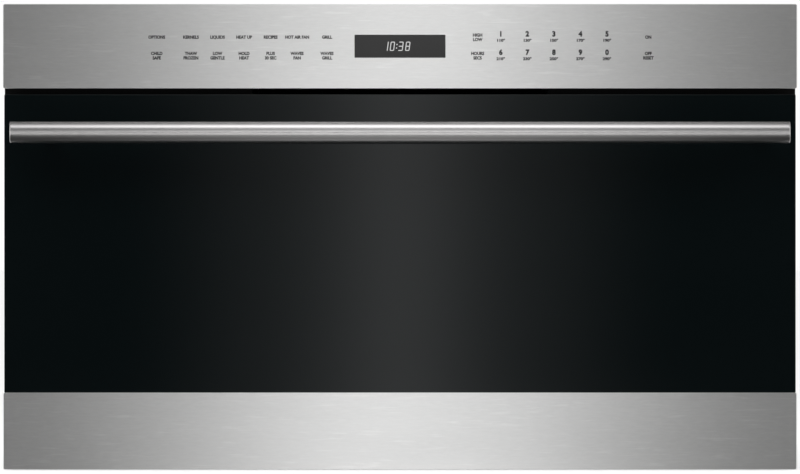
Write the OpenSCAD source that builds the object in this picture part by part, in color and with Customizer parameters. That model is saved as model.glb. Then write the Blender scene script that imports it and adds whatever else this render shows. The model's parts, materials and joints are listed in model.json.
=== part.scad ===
// Built-in speed oven with a drop-down door: a microwave oven with a convection fan and a broil element.
// Millimetres. Front faces -Y, +Z is up. The origin is the middle of the footprint, on the floor.
// Inside the modules Y is counted back from the face of the door glass; placed() moves it to the origin.

/* [Fascia] */
// Overall width of the control fascia
fascia_w = 759; // [750:1:790]
// Height of the control fascia
fascia_h = 80.5; // [76:0.5:95]
// Thickness of the stainless sheet
steel_t = 1.2; // [1:0.1:1.5]
// Corner radius of the fascia and of the door strip
corner_r = 1.5; // [1:0.5:3]
// Air gap between the fascia and the top of the door
vent_gap = 6; // [5.5:0.5:9]
// Width of the display window
display_w = 87; // [70:1:110]
// Height of the display window
display_h = 22; // [16:1:28]
// Width of the touch sensor board
touch_w = 560; // [480:10:680]
// Height of the touch sensor board
touch_h = 62; // [50:1:68]

/* [Door] */
// Edge of the door glass, in from the edge of the fascia
glass_inset = 1; // [0.5:0.25:3]
// Height of the door glass
glass_h = 285; // [275:1:310]
// Thickness of the outer door glass
glass_t = 5; // [4:0.5:6]
// Edge of the stainless strip below the glass, in from the edge of the fascia
strip_inset = 0.25; // [0:0.25:1]
// Height of the stainless strip
strip_h = 73.5; // [70:0.5:80]
// Thickness of the door, glass face to rear face
door_t = 24; // [22:0.5:28]
// Border of the door's plug around the window behind the dark glass
window_border = 26; // [20:1:60]
// Top of the door above the ceiling of the cavity
door_over = 40; // [36:1:46]
// How far the door's plug stands out of its rear face
plug_d = 10; // [6:1:14]

/* [Handle] */
// End of the handle bar, in from the edge of the glass
handle_inset = 7; // [2:0.25:60]
// Diameter of the handle bar
handle_dia = 20.5; // [16:0.5:26]
// Front of the handle bar, measured out from the glass
handle_reach = 55; // [45:1:65]
// Middle of the handle bar below the top of the door
handle_drop = 36.5; // [30:0.5:60]
// Diameter of the handle posts
post_dia = 15; // [12:0.5:16]
// Middle of a handle post, measured in from the end of the bar
post_inset = 34; // [22:1:90]

/* [Case] */
// Top of the case below the top of the fascia
case_drop = 11.5; // [8:0.5:13]
// Thickness of the case sheet
case_t = 1; // [0.8:0.1:1.2]
// Height of the skids that the oven stands on
skid_h = 4; // [3:0.5:8]
// Edge of the front frame, in from the edge of the fascia
flange_inset = 0.5; // [0.5:0.5:4]
// How far the front frame covers the cut-out beside the case
flange_cover = 34; // [28:1:36]
// Thickness of the front frame
frame_t = 1.5; // [1.2:0.1:2]
// Clearance hole for the cabinet screws
screw_hole_dia = 5.5; // [4.5:0.1:6.5]
// Cabinet screws, in from the edge of the front frame
screw_edge = 10; // [8:0.5:13]
// Distance up between the cabinet screws
screw_span_z = 260; // [200:5:270]

/* [Cavity] */
// Room beside the cavity, on each side, for the power parts
side_room = 115; // [108:1:130]
// Inside depth of the cavity
cavity_d = 400; // [380:1:440]
// Room behind the cavity for the convection fan and its motor
rear_room = 120; // [112:1:150]
// Height of the cavity floor
cavity_z = 84; // [82:1:88]
// Corner radius of the cavity
cavity_r = 14; // [8:1:20]
// Clearance of the glass tray to the cavity's front and back
tray_gap = 20; // [12:1:50]
// Rise of the glass tray's rim
tray_rim = 12; // [8:1:16]
// Radius of the circle that the rollers run on
track_r = 115; // [90:1:130]
// Diameter of the rollers
roller_dia = 16; // [12:0.5:18]
// Diameter of the convection fan
conv_fan_dia = 130; // [100:2:140]
// Diameter of the heater tubes
heater_dia = 7; // [5:0.5:9]

/* [Power parts] */
// Depth of the waveguide duct
waveguide_d = 18; // [14:1:20]
// Magnetron's middle above the middle of the cavity
magnetron_rise = 30.5; // [10:0.5:36]
// Clearance beside the magnetron's fan
mag_fan_gap = 8.5; // [6:0.5:16]
// Diameter of the blower wheel
blower_dia = 54; // [46:1:56]
// Length of the blower wheel
blower_l = 280; // [200:10:300]
// Bore of the supply cable gland
gland_bore = 11; // [8:0.5:13]

/* [Hidden] */
$fn = 48;
eps = 1; // how far a cut runs past the face that it opens
run_gap = 0.25; // gap between faces that roll or slide past each other
pin_gap = 0.05; // radial gap of a pin that turns in its hole
seat_gap = 0.02; // radial gap of a pin that is fixed in its hole

glass_w = fascia_w - 2 * glass_inset;
strip_w = fascia_w - 2 * strip_inset;
handle_l = glass_w - 2 * handle_inset;
flange_w = fascia_w - 2 * flange_inset;
case_w = flange_w - 2 * flange_cover;
cavity_w = case_w - 2 * side_room;
case_d = cavity_d + rear_room;
screw_span_x = flange_w - 2 * screw_edge;

door_z = 0.5; // the door's lower edge, clear of the floor
glass_z = door_z + strip_h;
door_top = glass_z + glass_h;
fascia_z = door_top + vent_gap;
fascia_mid = fascia_z + fascia_h / 2;
inner_r = max(corner_r - steel_t, 0.3);

frame_gap = 3; // door's rear face to front frame
frame_y = door_t + frame_gap;
back_y = frame_y + frame_t;
fascia_d = frame_y - 2; // depth of the fascia, clear of the front frame
flange_h = fascia_z + fascia_h - flange_inset - skid_h;
flange_mid = skid_h + flange_h / 2;

base_t = 1.2; // sheet of the base pan
bead_w = 22; // stiffening bead, across
bead_h = 2; // stiffening bead, standing out
pan_top = skid_h + base_t;
case_top = fascia_z + fascia_h - case_drop;
case_h = case_top - skid_h;
case_back = back_y + case_d;
inner_x = case_w / 2 - case_t;
gland_out = 12; // how far the cable gland stands out of the rear panel
overall_d = handle_reach + case_back + gland_out;
front_y = handle_reach - overall_d / 2;

cavity_t = 1; // sheet of the cavity
cavity_top = door_top - door_over;
cavity_h = cavity_top - cavity_z;
cavity_mid = cavity_z + cavity_h / 2;
cavity_back = back_y + cavity_d;
rear_wall = cavity_back + cavity_t;
wall_x = cavity_w / 2 + cavity_t;
tray_y = back_y + cavity_d / 2;
wool_t = 10; // thickness of the insulation
wool_x = wall_x + wool_t;
wool_top = cavity_top + cavity_t + wool_t;
side_mid = (wool_x + inner_x) / 2; // middle of the space beside the cavity

latch_x = wool_x + 44; // the two latch hooks, measured from the middle
latch_y = 13; // the latch rod, back from the glass
latch_z = door_top - 19; // height of the latch rod
latch_reach = 37; // rod to the tip of a hook
hook_w = 12; // width of a hook
slot_w = hook_w + 4; // width of a hook's slot
slot_down = 8.5; // a slot's lower edge below the rod
slot_up = 13; // a slot's upper edge above the rod
latch_rod_r = 3;

hinge_x = strip_w / 2 - 27.75; // middle of a hinge arm
hinge_y = 10; // hinge axis, back from the glass
hinge_z = 12.5; // hinge axis above the floor
hinge_pin_r = 3;
ear_r = 7; // rounded end of a hinge ear or arm
ear_t = 3;
ear_in = hinge_x - 8; // middle of the inner ear
ear_out = hinge_x + 11; // middle of the outer ear
sill_z = 26; // underside of the door's inner frame
door_sheet = 1.5; // sheet of the door's inner frame
pan_y = glass_t + door_sheet; // rear face of the frame's front sheet

plug_gap = 4; // door plug to cavity wall
plug_w = cavity_w - 2 * plug_gap;
plug_h = cavity_h - 2 * plug_gap;
window_w = plug_w - 2 * window_border;
window_h = plug_h - 2 * window_border;
ledge = 12; // rebate that the inner glass sits in
inner_glass_t = 4;

handle_r = handle_dia / 2;
handle_y = handle_r - handle_reach;
handle_z = door_top - handle_drop;
post_x = handle_l / 2 - post_inset;
stud_r = 3;

lens_flange = 3; // border of the display lens behind the sheet
lens_t = 1;
board_t = 1.6;
board_w = 300; // control board
board_h = 60;
carrier_y = 17;
board_y = 14;

switch_y = back_y + 26; // front face of the interlock switches
switch_pitch = 10.4; // between the two switches at the right hook
switch_places = [-latch_x, latch_x - switch_pitch / 2, latch_x + switch_pitch / 2];
plunger_r = 1.5;

duct_w = blower_l + 20;
duct_h = 24;
duct_z = door_top + vent_gap / 2 - duct_h / 2;
power_z = duct_z + duct_h + 8; // power board, on the duct
blower_r = blower_dia / 2;
blower_wall = 12; // wheel to the outside of the blower housing
blower_box = blower_dia + 2 * blower_wall; // depth and height of the blower housing
blower_end = 20.5; // rear of the blower housing, forward of the cavity's back
duct_end = cavity_back - blower_end - blower_box; // front face of the blower
blower_y = duct_end + blower_box / 2; // middle of the blower wheel
blower_z = duct_z + duct_h + 3;
blower_low = blower_z - blower_box / 2; // underside of the blower housing

waveguide_l = 150;
waveguide_h = 80;
waveguide_y = 180; // front end of the waveguide
antenna_y = 112; // magnetron's antenna, back from the waveguide's front end
magnetron_y = waveguide_y + antenna_y;
magnetron_x = wall_x + waveguide_d;
shroud_gap = 76; // fan shroud behind the magnetron's middle
shroud_y = magnetron_y + shroud_gap;
shroud_t = 1.5;
mag_shaft_r = 2.5;
mag_motor_gap = 22; // fan motor behind the shroud
mag_motor_y = shroud_y + mag_motor_gap;

transformer_y = back_y + 92;
core_l = 96;
core_h = 80;
core_t = 54;
leg_w = 32; // middle leg of the core
window_gap = 16; // window of the core, across
coil_h = 46;
core_z = pan_top + 2;
core_foot = 6; // foot plate out beyond the core, front and rear
cap_strap = 70; // strap of the high-voltage capacitor, along Y
cap_y = transformer_y + core_l / 2 + core_foot + 3 + cap_strap / 2;

lamp_y = back_y + 190;
lamp_z = cavity_top - 60;
lamp_half_y = 25; // half the lamp housing, along the cavity
lamp_half_z = 20;

run_spacing = 90; // between two runs of the broil element
element_z = cavity_top - 14;
element_front = back_y + 90; // where its front bends begin
element_rear = cavity_back - 80; // where its rear bend begins
magnetron_z = cavity_mid + magnetron_rise;
fan_r = (inner_x - wool_x) / 2 - mag_fan_gap;

conv_y = rear_wall;
conv_d = 38; // depth of the convection housing
conv_back = conv_y + conv_d;
conv_motor_y = conv_back + 22;
conv_fan_r = conv_fan_dia / 2;
ring_r = conv_fan_r + heater_dia / 2 + 9;
ring_drop = sqrt(ring_r * ring_r - 16 * 16); // the ring heater's legs, below its middle
ring_y = conv_y + 20;
conv_h = 2 * (ring_r + heater_dia / 2 + 19);
conv_w = conv_h + 30;
shaft_r = 4;

tray_dia = cavity_d - 2 * tray_gap;
roller_r = roller_dia / 2;
roller_z = cavity_z + run_gap + roller_r;
tray_z = roller_z + roller_r + run_gap;
tray_t = 5;
roller_w = 8;
ring_t = 4; // height of the roller ring
axle_r = 2;
motor_top = cavity_z - cavity_t - 3; // top of the turntable motor

rail_x = 250; // middle of a skid
rail_w = 30;
rail_inset = 20; // end of a skid, in from the edge of the base pan

stainless = "#c4c4c2";
galvanised = "#a9adb0";
black_enamel = "#1b1c1d";
dark_plastic = "#2a2b2d";
circuit_green = "#2f6b45";
copper = "#b0713a";
clear_glass = [0.75, 0.85, 0.85, 0.5];

// A drawing in X and Z, made solid from y back to y + t.
module slab(y, t) {
    translate([0, y + t, 0]) rotate([90, 0, 0]) linear_extrude(t) children();
}

// A drawing in Y and Z, made solid from x to x + t.
module across(x, t) {
    translate([x, 0, 0]) rotate([90, 0, 90]) linear_extrude(t) children();
}

// A box between two corners.
module block(low, high) {
    translate(low) cube(high - low);
}

// A rectangle with round corners, about its middle.
module rounded(w, h, r) {
    square([w - 2 * r, h], center = true);
    square([w, h - 2 * r], center = true);
    for (x = [-1, 1], y = [-1, 1]) translate([x * (w / 2 - r), y * (h / 2 - r)]) circle(r);
}

// A rounded frame of a given wall.
module hollow(w, h, r, wall) {
    difference() {
        rounded(w, h, r);
        rounded(w - 2 * wall, h - 2 * wall, max(r - wall, 0.3));
    }
}

// A slot with round ends, about its middle.
module slot(l, w) {
    square([l - w, w], center = true);
    for (x = [-1, 1]) translate([x * (l - w) / 2, 0]) circle(w / 2);
}

// A rod along Y.
module rod_y(y, l, r) {
    translate([0, y, 0]) rotate([-90, 0, 0]) cylinder(h = l, r = r);
}

// A rod along X.
module rod_x(x, l, r) {
    translate([x, 0, 0]) rotate([0, 90, 0]) cylinder(h = l, r = r);
}

module placed() {
    translate([0, front_y, 0]) children();
}

module base_pan() {
    vents = 14;
    vent_step = 20;
    edge = 12;
    color(galvanised) {
        difference() {
            union() {
                block([-inner_x, back_y, skid_h], [inner_x, case_back, pan_top]);
                for (s = [-1, 1]) block([s * rail_x - rail_w / 2, back_y + rail_inset, 0],
                    [s * rail_x + rail_w / 2, case_back - rail_inset, skid_h]);
            }
            for (s = [-1, 1])
                block([s * rail_x - rail_w / 2 + base_t, back_y + rail_inset + base_t, base_t],
                    [s * rail_x + rail_w / 2 - base_t, case_back - rail_inset - base_t, pan_top + eps]);
            for (i = [0 : vents - 1])
                translate([vent_step * (i - (vents - 1) / 2), back_y + 330, skid_h - eps])
                    linear_extrude(base_t + 2 * eps) rotate(90) slot(60, 5);
        }
        for (s = [-1, 1]) block([min(s * inner_x, s * (inner_x - base_t)), back_y, pan_top],
            [max(s * inner_x, s * (inner_x - base_t)), case_back - case_t, pan_top + edge]);
        block([-inner_x + base_t, back_y, pan_top], [inner_x - base_t, back_y + base_t, pan_top + edge]);
    }
}

// A bead pressed in a sheet, along X: it is rooted in the sheet and stands out by its height.
module bead(l) {
    r = bead_w / 2;
    root = case_t / 2;
    for (x = [0, l]) translate([x, 0, 0]) {
        cylinder(h = bead_h, r1 = r, r2 = r - bead_h);
        translate([0, 0, -root]) cylinder(h = root, r = r);
    }
    rotate([90, 0, 90]) linear_extrude(l) polygon([[-r, -root], [r, -root], [r, 0],
        [r - bead_h, bead_h], [bead_h - r, bead_h], [-r, 0]]);
}

module outer_wrap() {
    rows = 3;
    columns = 9;
    edge_gap = 70; // a side bead's middle to the edge of the side
    color(galvanised) difference() {
        union() {
            slab(back_y, case_d) difference() {
                translate([-case_w / 2, skid_h]) square([case_w, case_h]);
                translate([-inner_x, skid_h - eps]) square([2 * inner_x, case_h - case_t + eps]);
            }
            for (i = [-1 : 1]) translate([i * case_w / 3, back_y + 60, case_top])
                rotate(90) bead(case_d - 120);
            for (s = [-1, 1], z = [edge_gap, case_top - edge_gap])
                translate([s * case_w / 2, back_y + 50, z])
                    rotate([0, s * 90, 0]) rotate(90) bead(case_d - 240);
        }
        for (s = [-1, 1], i = [0 : columns - 1], j = [0 : rows - 1])
            across(s * case_w / 2 - 5, 10) translate([case_back - 130 + 12 * i, case_top - 190 + 45 * j])
                rotate(90) slot(36, 4);
    }
}

module gland_place() {
    translate([-inner_x + 70, 0, skid_h + 62]) children();
}

module rear_panel() {
    vent_step = 22;
    color(galvanised) difference() {
        slab(case_back - case_t, case_t) translate([-inner_x, pan_top])
            square([2 * inner_x, case_top - case_t - pan_top]);
        for (i = [-6 : 6], j = [-1, 1]) slab(case_back - 5, 10)
            translate([vent_step * i, cavity_mid + 80 + 26 * j]) rotate(90) slot(44, 5);
        gland_place() rod_y(case_back - 5, 10, gland_bore / 2 + 3.7);
    }
}

module front_frame() {
    color(black_enamel) slab(frame_y, frame_t) difference() {
        translate([0, flange_mid]) rounded(flange_w, flange_h, 3);
        translate([0, cavity_mid]) rounded(cavity_w, cavity_h, cavity_r);
        translate([0, door_top + vent_gap / 2]) slot(duct_w - 16, vent_gap - 1);
        for (s = [-1, 1]) {
            translate([s * latch_x - slot_w / 2, latch_z - slot_down])
                square([slot_w, slot_down + slot_up]);
            for (t = [-1, 1]) translate([s * screw_span_x / 2, cavity_mid - 11.5 + t * screw_span_z / 2])
                circle(d = screw_hole_dia);
            translate([s * 100, fascia_mid + 12]) slot(50, 16);
        }
    }
}

module cavity_box() {
    ridge_h = 7;
    ridge_out = 4;
    color(stainless) for (s = [-1, 1], z = [cavity_z + 44, cavity_z + 66])
        across(s > 0 ? cavity_w / 2 - ridge_out : -wall_x + cavity_t / 2, ridge_out + cavity_t / 2)
            translate([tray_y, z]) slot(cavity_d - 100, ridge_h);
    color(stainless) difference() {
        slab(back_y, cavity_d + cavity_t) translate([0, cavity_mid])
            rounded(cavity_w + 2 * cavity_t, cavity_h + 2 * cavity_t, cavity_r + cavity_t);
        slab(back_y - eps, cavity_d + eps) translate([0, cavity_mid]) rounded(cavity_w, cavity_h, cavity_r);
        translate([0, 0, cavity_mid]) rod_y(cavity_back - eps, cavity_t + 2 * eps, ring_r + heater_dia);
        translate([0, tray_y, cavity_z - cavity_t - eps]) cylinder(h = cavity_t + 2 * eps, r = 7);
        for (s = [-1, 1]) translate([s * 1.5 * run_spacing, 0, element_z])
            rod_y(cavity_back - eps, cavity_t + 2 * eps, heater_dia / 2 + 0.5);
        across(wall_x - cavity_t - eps, cavity_t + 2 * eps)
            translate([waveguide_y + 42, magnetron_z]) rounded(64, 54, 4);
        for (i = [-2 : 2], j = [-1 : 1]) across(-wall_x - eps, cavity_t + 2 * eps)
            translate([lamp_y + 7 * i, lamp_z + 7 * j]) circle(2);
    }
}

// Perforated plate over the convection fan: rings of holes to draw air in, and slots to blow it out.
module fan_baffle() {
    rings = 5;
    ring_step = 11;
    color(stainless) difference() {
        slab(cavity_back - 1, 1) translate([0, cavity_mid]) difference() {
            rounded(conv_w + 16, conv_h - 10, 10);
            circle(3);
            for (k = [1 : rings], i = [0 : 6 * k - 1]) rotate(i * 60 / k)
                translate([ring_step * k, 0]) circle(3);
            for (s = [-1, 1], i = [-3 : 3]) translate([s * 100, 16 * i]) slot(22, 6);
        }
    }
}

module convection_housing() {
    wall = 1;
    rim = 9;
    color(galvanised) difference() {
        union() {
            slab(conv_y, wall) translate([0, cavity_mid])
                hollow(conv_w + 2 * rim, conv_h + 2 * rim, 30, rim + wall);
            slab(conv_y, conv_d) translate([0, cavity_mid]) hollow(conv_w, conv_h, 22, wall);
            slab(conv_back - wall, wall) translate([0, cavity_mid]) rounded(conv_w, conv_h, 22);
        }
        translate([0, 0, cavity_mid]) rod_y(conv_back - 5, 10, shaft_r + 2);
        for (s = [-1, 1]) translate([s * 16, 0, cavity_mid - ring_drop])
            rod_y(conv_back - 5, 10, heater_dia / 2 + 0.5);
    }
}

module ring_heater() {
    color("#5b5652") {
        translate([0, ring_y, cavity_mid]) rotate([90, 0, 0]) rotate_extrude() translate([ring_r, 0])
            circle(heater_dia / 2);
        for (s = [-1, 1]) translate([s * 16, 0, cavity_mid - ring_drop]) {
            rod_y(ring_y, conv_back + 8 - ring_y, heater_dia / 2);
            rod_y(conv_back, 8, heater_dia / 2 + 3);
            rod_y(conv_back + 8, 10, 1.5);
        }
    }
}

module convection_motor() {
    stack = 56;
    stack_l = 24;
    color("#6d7073") translate([0, 0, cavity_mid]) {
        difference() {
            union() {
                slab(conv_motor_y, stack_l) rounded(stack, stack, 4);
                rod_y(conv_motor_y - 8, stack_l + 16, 18);
                for (s = [-1, 1], t = [-1, 1]) translate([s * 22, 0, t * 22])
                    rod_y(conv_back, conv_motor_y - conv_back, 3);
            }
            rod_y(conv_motor_y - 9, stack_l + 18, shaft_r + pin_gap);
        }
    }
}

module convection_fan() {
    blades = 10;
    back_disc = 1.2;
    blade_w = 20;
    front = conv_y + 8;
    color(galvanised) translate([0, 0, cavity_mid]) {
        rod_y(front + blade_w, back_disc, conv_fan_r);
        rod_y(front, blade_w, 9);
        for (i = [0 : blades - 1]) rotate([0, i * 360 / blades, 0])
            translate([7, front, 0]) rotate([0, -14, 0]) cube([conv_fan_r - 9, blade_w, 1.2]);
        rod_y(front, conv_motor_y + 40 - front, shaft_r);
    }
}

// A half turn of heater tube that joins two runs.
module element_bend(y, turn) {
    translate([0, y, 0]) rotate([0, 0, turn]) rotate_extrude(angle = 180)
        translate([run_spacing / 2, 0]) circle(heater_dia / 2);
}

module broil_element() {
    r = heater_dia / 2;
    color("#5b5652") translate([0, 0, element_z]) {
        for (s = [-1, 1]) {
            translate([s * 1.5 * run_spacing, 0, 0])
                rod_y(element_front, rear_wall + 14 - element_front, r);
            translate([s * 0.5 * run_spacing, 0, 0]) rod_y(element_front, element_rear - element_front, r);
            translate([s * run_spacing, 0, 0]) element_bend(element_front, 180);
            translate([s * 1.5 * run_spacing, 0, 0]) rod_y(rear_wall, 5, r + 3);
            for (y = [element_front + 30, element_rear - 20]) translate([s * run_spacing * 1.5, y, 0])
                cylinder(h = cavity_top - element_z, r = 2);
            translate([s * run_spacing * 0.5, element_front + 60, 0])
                cylinder(h = cavity_top - element_z, r = 2);
        }
        element_bend(element_rear, 0);
    }
}

module insulation_wrap() {
    ends = 12;
    color("#d8d2bf") difference() {
        slab(back_y + ends, cavity_d - 2 * ends) difference() {
            translate([0, cavity_mid])
                rounded(2 * wool_x, cavity_h + 2 * cavity_t + 2 * wool_t, cavity_r + wool_t);
            translate([0, cavity_mid]) rounded(2 * wall_x, cavity_h + 2 * cavity_t, cavity_r + cavity_t);
            translate([-wool_x - eps, cavity_z - 40]) square([2 * wool_x + 2 * eps, 52]);
        }
        block([wall_x - eps, waveguide_y - 2, magnetron_z - waveguide_h / 2 - 2],
            [wool_x + eps, waveguide_y + waveguide_l + 2, magnetron_z + waveguide_h / 2 + 2]);
        block([-wool_x - eps, lamp_y - lamp_half_y - 3, lamp_z - lamp_half_z - 3],
            [-wall_x + eps, lamp_y + lamp_half_y + 3, lamp_z + lamp_half_z + 3]);
    }
}

module lamp_housing() {
    d = 42;
    wall = 1;
    socket_l = 12;
    neck_l = 10;
    color(galvanised) difference() {
        block([-wall_x - d, lamp_y - lamp_half_y, lamp_z - lamp_half_z],
            [-wall_x, lamp_y + lamp_half_y, lamp_z + lamp_half_z]);
        block([-wall_x - d + wall, lamp_y - lamp_half_y + wall, lamp_z - lamp_half_z + wall],
            [-wall_x + eps, lamp_y + lamp_half_y - wall, lamp_z + lamp_half_z - wall]);
    }
    color("#f1e6b8") translate([-wall_x - d + wall, lamp_y, lamp_z]) {
        rod_x(0, socket_l, 8);
        rod_x(socket_l, neck_l, 5);
        translate([socket_l + neck_l, 0, 0]) sphere(9);
    }
}

module waveguide() {
    wall = 1;
    z0 = magnetron_z - waveguide_h / 2;
    color(galvanised) difference() {
        block([wall_x, waveguide_y, z0], [magnetron_x, waveguide_y + waveguide_l, z0 + waveguide_h]);
        block([wall_x - eps, waveguide_y + wall, z0 + wall],
            [magnetron_x - wall, waveguide_y + waveguide_l - wall, z0 + waveguide_h - wall]);
        translate([0, magnetron_y, magnetron_z]) rod_x(magnetron_x - 5, 10, 9);
    }
}

// Mica sheet inside the cavity, over the waveguide's mouth.
module waveguide_cover() {
    mica_t = 0.6;
    color("#b9b39f") across(cavity_w / 2 - mica_t, mica_t)
        translate([waveguide_y + 42, magnetron_z]) rounded(84, 74, 4);
}

module magnetron() {
    fins = 9;
    depth = 58; // yoke, out from the waveguide
    half_y = 46;
    half_z = 38;
    sheet = 2;
    color("#b5b8ba") translate([magnetron_x, magnetron_y, magnetron_z]) {
        block([0, -half_y, -half_z], [sheet, half_y, half_z]);
        block([depth - sheet, -half_y, -half_z], [depth, half_y, half_z]);
        for (s = [-1, 1]) block([0, -half_y + 4, min(s * half_z, s * (half_z - sheet))],
            [depth, half_y - 4, max(s * half_z, s * (half_z - sheet))]);
        rod_x(sheet, 10, 26);
        rod_x(depth - sheet - 10, 10, 26);
        rod_x(0, depth, 19);
        for (i = [0 : fins - 1]) translate([15 + 3.4 * i, 0, 0])
            block([0, -half_y + 6, -half_z + sheet], [0.8, half_y - 6, half_z - sheet]);
        rod_x(-13, 14, 7);
        block([depth, -30, -29], [depth + 22, 30, 29]);
        block([depth + 6, 30, -10], [depth + 16, 42, 10]);
    }
}

// Baffle beside the cavity with the magnetron's fan in it.
module fan_shroud() {
    sheet = shroud_t;
    collar = 22;
    gap = 1;
    hole = fan_r + 3;
    color(galvanised) {
        difference() {
            slab(shroud_y, sheet) translate([wool_x + gap, pan_top])
                square([inner_x - base_t - wool_x - 2 * gap, magnetron_z + 62 - pan_top]);
            translate([side_mid, 0, magnetron_z]) rod_y(shroud_y - eps, sheet + 2 * eps, hole);
        }
        translate([side_mid, 0, magnetron_z]) difference() {
            rod_y(shroud_y - collar, collar + sheet, hole + 1.2);
            rod_y(shroud_y - collar - eps, collar + sheet + 2 * eps, hole);
        }
    }
}

module fan_motor() {
    stack = 16;
    stack_w = 60;
    bearing = 5; // bearing cup in front of and behind the stack
    arm = 50; // a leg of the motor's bracket, from its middle
    coil_t = 12;
    coil_half = 15;
    color("#6d7073") translate([side_mid, 0, magnetron_z]) {
        difference() {
            union() {
                slab(mag_motor_y, stack) square([stack_w, 44], center = true);
                rod_y(mag_motor_y - bearing, stack + 2 * bearing, 10);
                for (s = [-1, 1])
                    block([-5, shroud_y + shroud_t, s * arm - 5], [5, mag_motor_y + 3, s * arm + 5]);
                block([-5, mag_motor_y + 1, -arm - 5], [5, mag_motor_y + 3, arm + 5]);
            }
            rod_y(mag_motor_y - bearing - eps, stack + 2 * bearing + 2 * eps, mag_shaft_r + pin_gap);
        }
    }
    color(copper) translate([side_mid, 0, magnetron_z]) block([stack_w / 2, mag_motor_y - 6, -coil_half],
        [stack_w / 2 + coil_t, mag_motor_y + stack + 6, coil_half]);
}

module magnetron_fan() {
    blades = 5;
    hub_front = shroud_y - 18;
    hub_l = 16;
    blade_l = 18; // a blade's chord
    blade_t = 1.6;
    color(dark_plastic) translate([side_mid, 0, magnetron_z]) {
        rod_y(hub_front, hub_l, 10);
        for (i = [0 : blades - 1]) rotate([0, i * 360 / blades, 0])
            translate([0, hub_front + hub_l / 2, 0]) rotate([32, 0, 0])
                translate([8, -blade_t / 2, -blade_l / 2]) cube([fan_r - 9, blade_t, blade_l]);
        rod_y(hub_front, mag_motor_y + 16 - hub_front, mag_shaft_r);
    }
}

module transformer_core() {
    color("#5a5d60") {
        across(side_mid - core_t / 2, core_t) translate([transformer_y, core_z + core_h / 2])
            difference() {
                square([core_l, core_h], center = true);
                for (s = [-1, 1]) translate([s * (leg_w + window_gap) / 2, 0])
                    square([window_gap, coil_h + 2], center = true);
            }
        block([side_mid - 44, transformer_y - core_l / 2 - core_foot, pan_top],
            [side_mid + 44, transformer_y + core_l / 2 + core_foot, core_z]);
    }
}

module transformer_coils() {
    gap = 0.3;
    primary_h = 20;
    between = 4; // primary coil to secondary coil
    secondary_z = primary_h + between;
    color(copper) translate([side_mid, transformer_y, core_z + core_h / 2 - coil_h / 2])
        for (part = [[0, primary_h], [secondary_z, coil_h - secondary_z]])
            translate([0, 0, part[0]]) linear_extrude(part[1]) difference() {
                rounded(core_t + 2 * (window_gap - gap), leg_w + 2 * (window_gap - gap), 6);
                square([core_t, leg_w], center = true);
            }
}

module hv_capacitor() {
    can_h = 88;
    color("#8d9194") translate([side_mid, cap_y, pan_top]) {
        linear_extrude(can_h) rotate(90) slot(54, 34);
        linear_extrude(1.5) square([50, cap_strap], center = true);
        for (s = [-1, 1]) translate([-3, s * 12 - 1, can_h]) cube([6, 1, 11]);
    }
    color("#1b1c1d") translate([side_mid, cap_y, pan_top + can_h + 6]) {
        rod_y(-9, 18, 4);
        translate([0, 0, -6]) cylinder(h = 4, r = 1.5);
    }
}

module turntable_motor() {
    body_h = 17;
    color(galvanised) translate([0, tray_y, 0]) difference() {
        union() {
            translate([0, 0, motor_top - body_h]) cylinder(h = body_h, r = 24.5);
            translate([0, 0, motor_top - 2]) linear_extrude(2) slot(66, 14);
            for (s = [-1, 1]) translate([s * 28, 0, motor_top])
                cylinder(h = cavity_z - cavity_t - motor_top, r = 4);
        }
        translate([0, 0, motor_top - 13]) cylinder(h = 14, r = 3.5 + pin_gap);
    }
}

module fascia_panel() {
    color(stainless) difference() {
        slab(0, fascia_d) translate([0, fascia_mid]) rounded(fascia_w, fascia_h, corner_r);
        slab(steel_t, fascia_d) translate([0, fascia_mid])
            rounded(fascia_w - 2 * steel_t, fascia_h - 2 * steel_t, inner_r);
        slab(-eps, steel_t + 2 * eps) translate([0, fascia_mid]) rounded(display_w, display_h, 0.6);
    }
}

module display_window() {
    side_gap = 0.15;
    set_back = 0.3;
    color("#3b3b3c") {
        slab(set_back, steel_t - set_back) translate([0, fascia_mid])
            rounded(display_w - 2 * side_gap, display_h - 2 * side_gap, 0.5);
        slab(steel_t, lens_t) translate([0, fascia_mid])
            square([display_w + 2 * lens_flange, display_h + 2 * lens_flange], center = true);
    }
}

module touch_board() {
    side_gap = 0.5;
    color(circuit_green) slab(steel_t, board_t) translate([0, fascia_mid]) difference() {
        square([touch_w, touch_h], center = true);
        square([display_w + 2 * lens_flange + 2 * side_gap, display_h + 2 * lens_flange + 2 * side_gap],
            center = true);
    }
}

module control_board() {
    display_y = steel_t + lens_t + board_t;
    color(circuit_green) slab(board_y, board_t) translate([0, fascia_mid])
        square([board_w, board_h], center = true);
    color(dark_plastic) {
        slab(display_y, board_y - display_y) translate([0, fascia_mid])
            square([display_w + 4, display_h + 3], center = true);
        for (s = [-1, 1]) slab(steel_t + board_t, board_y - steel_t - board_t)
            translate([s * 110, fascia_mid]) square([34, 8], center = true);
        slab(board_y + board_t, 3) translate([-60, fascia_mid]) square([24, 24], center = true);
        slab(board_y + board_t, 6) translate([60, fascia_mid + 8]) square([42, 10], center = true);
        translate([110, 0, fascia_mid - 10]) rod_y(board_y + board_t, 7, 7);
    }
}

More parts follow.
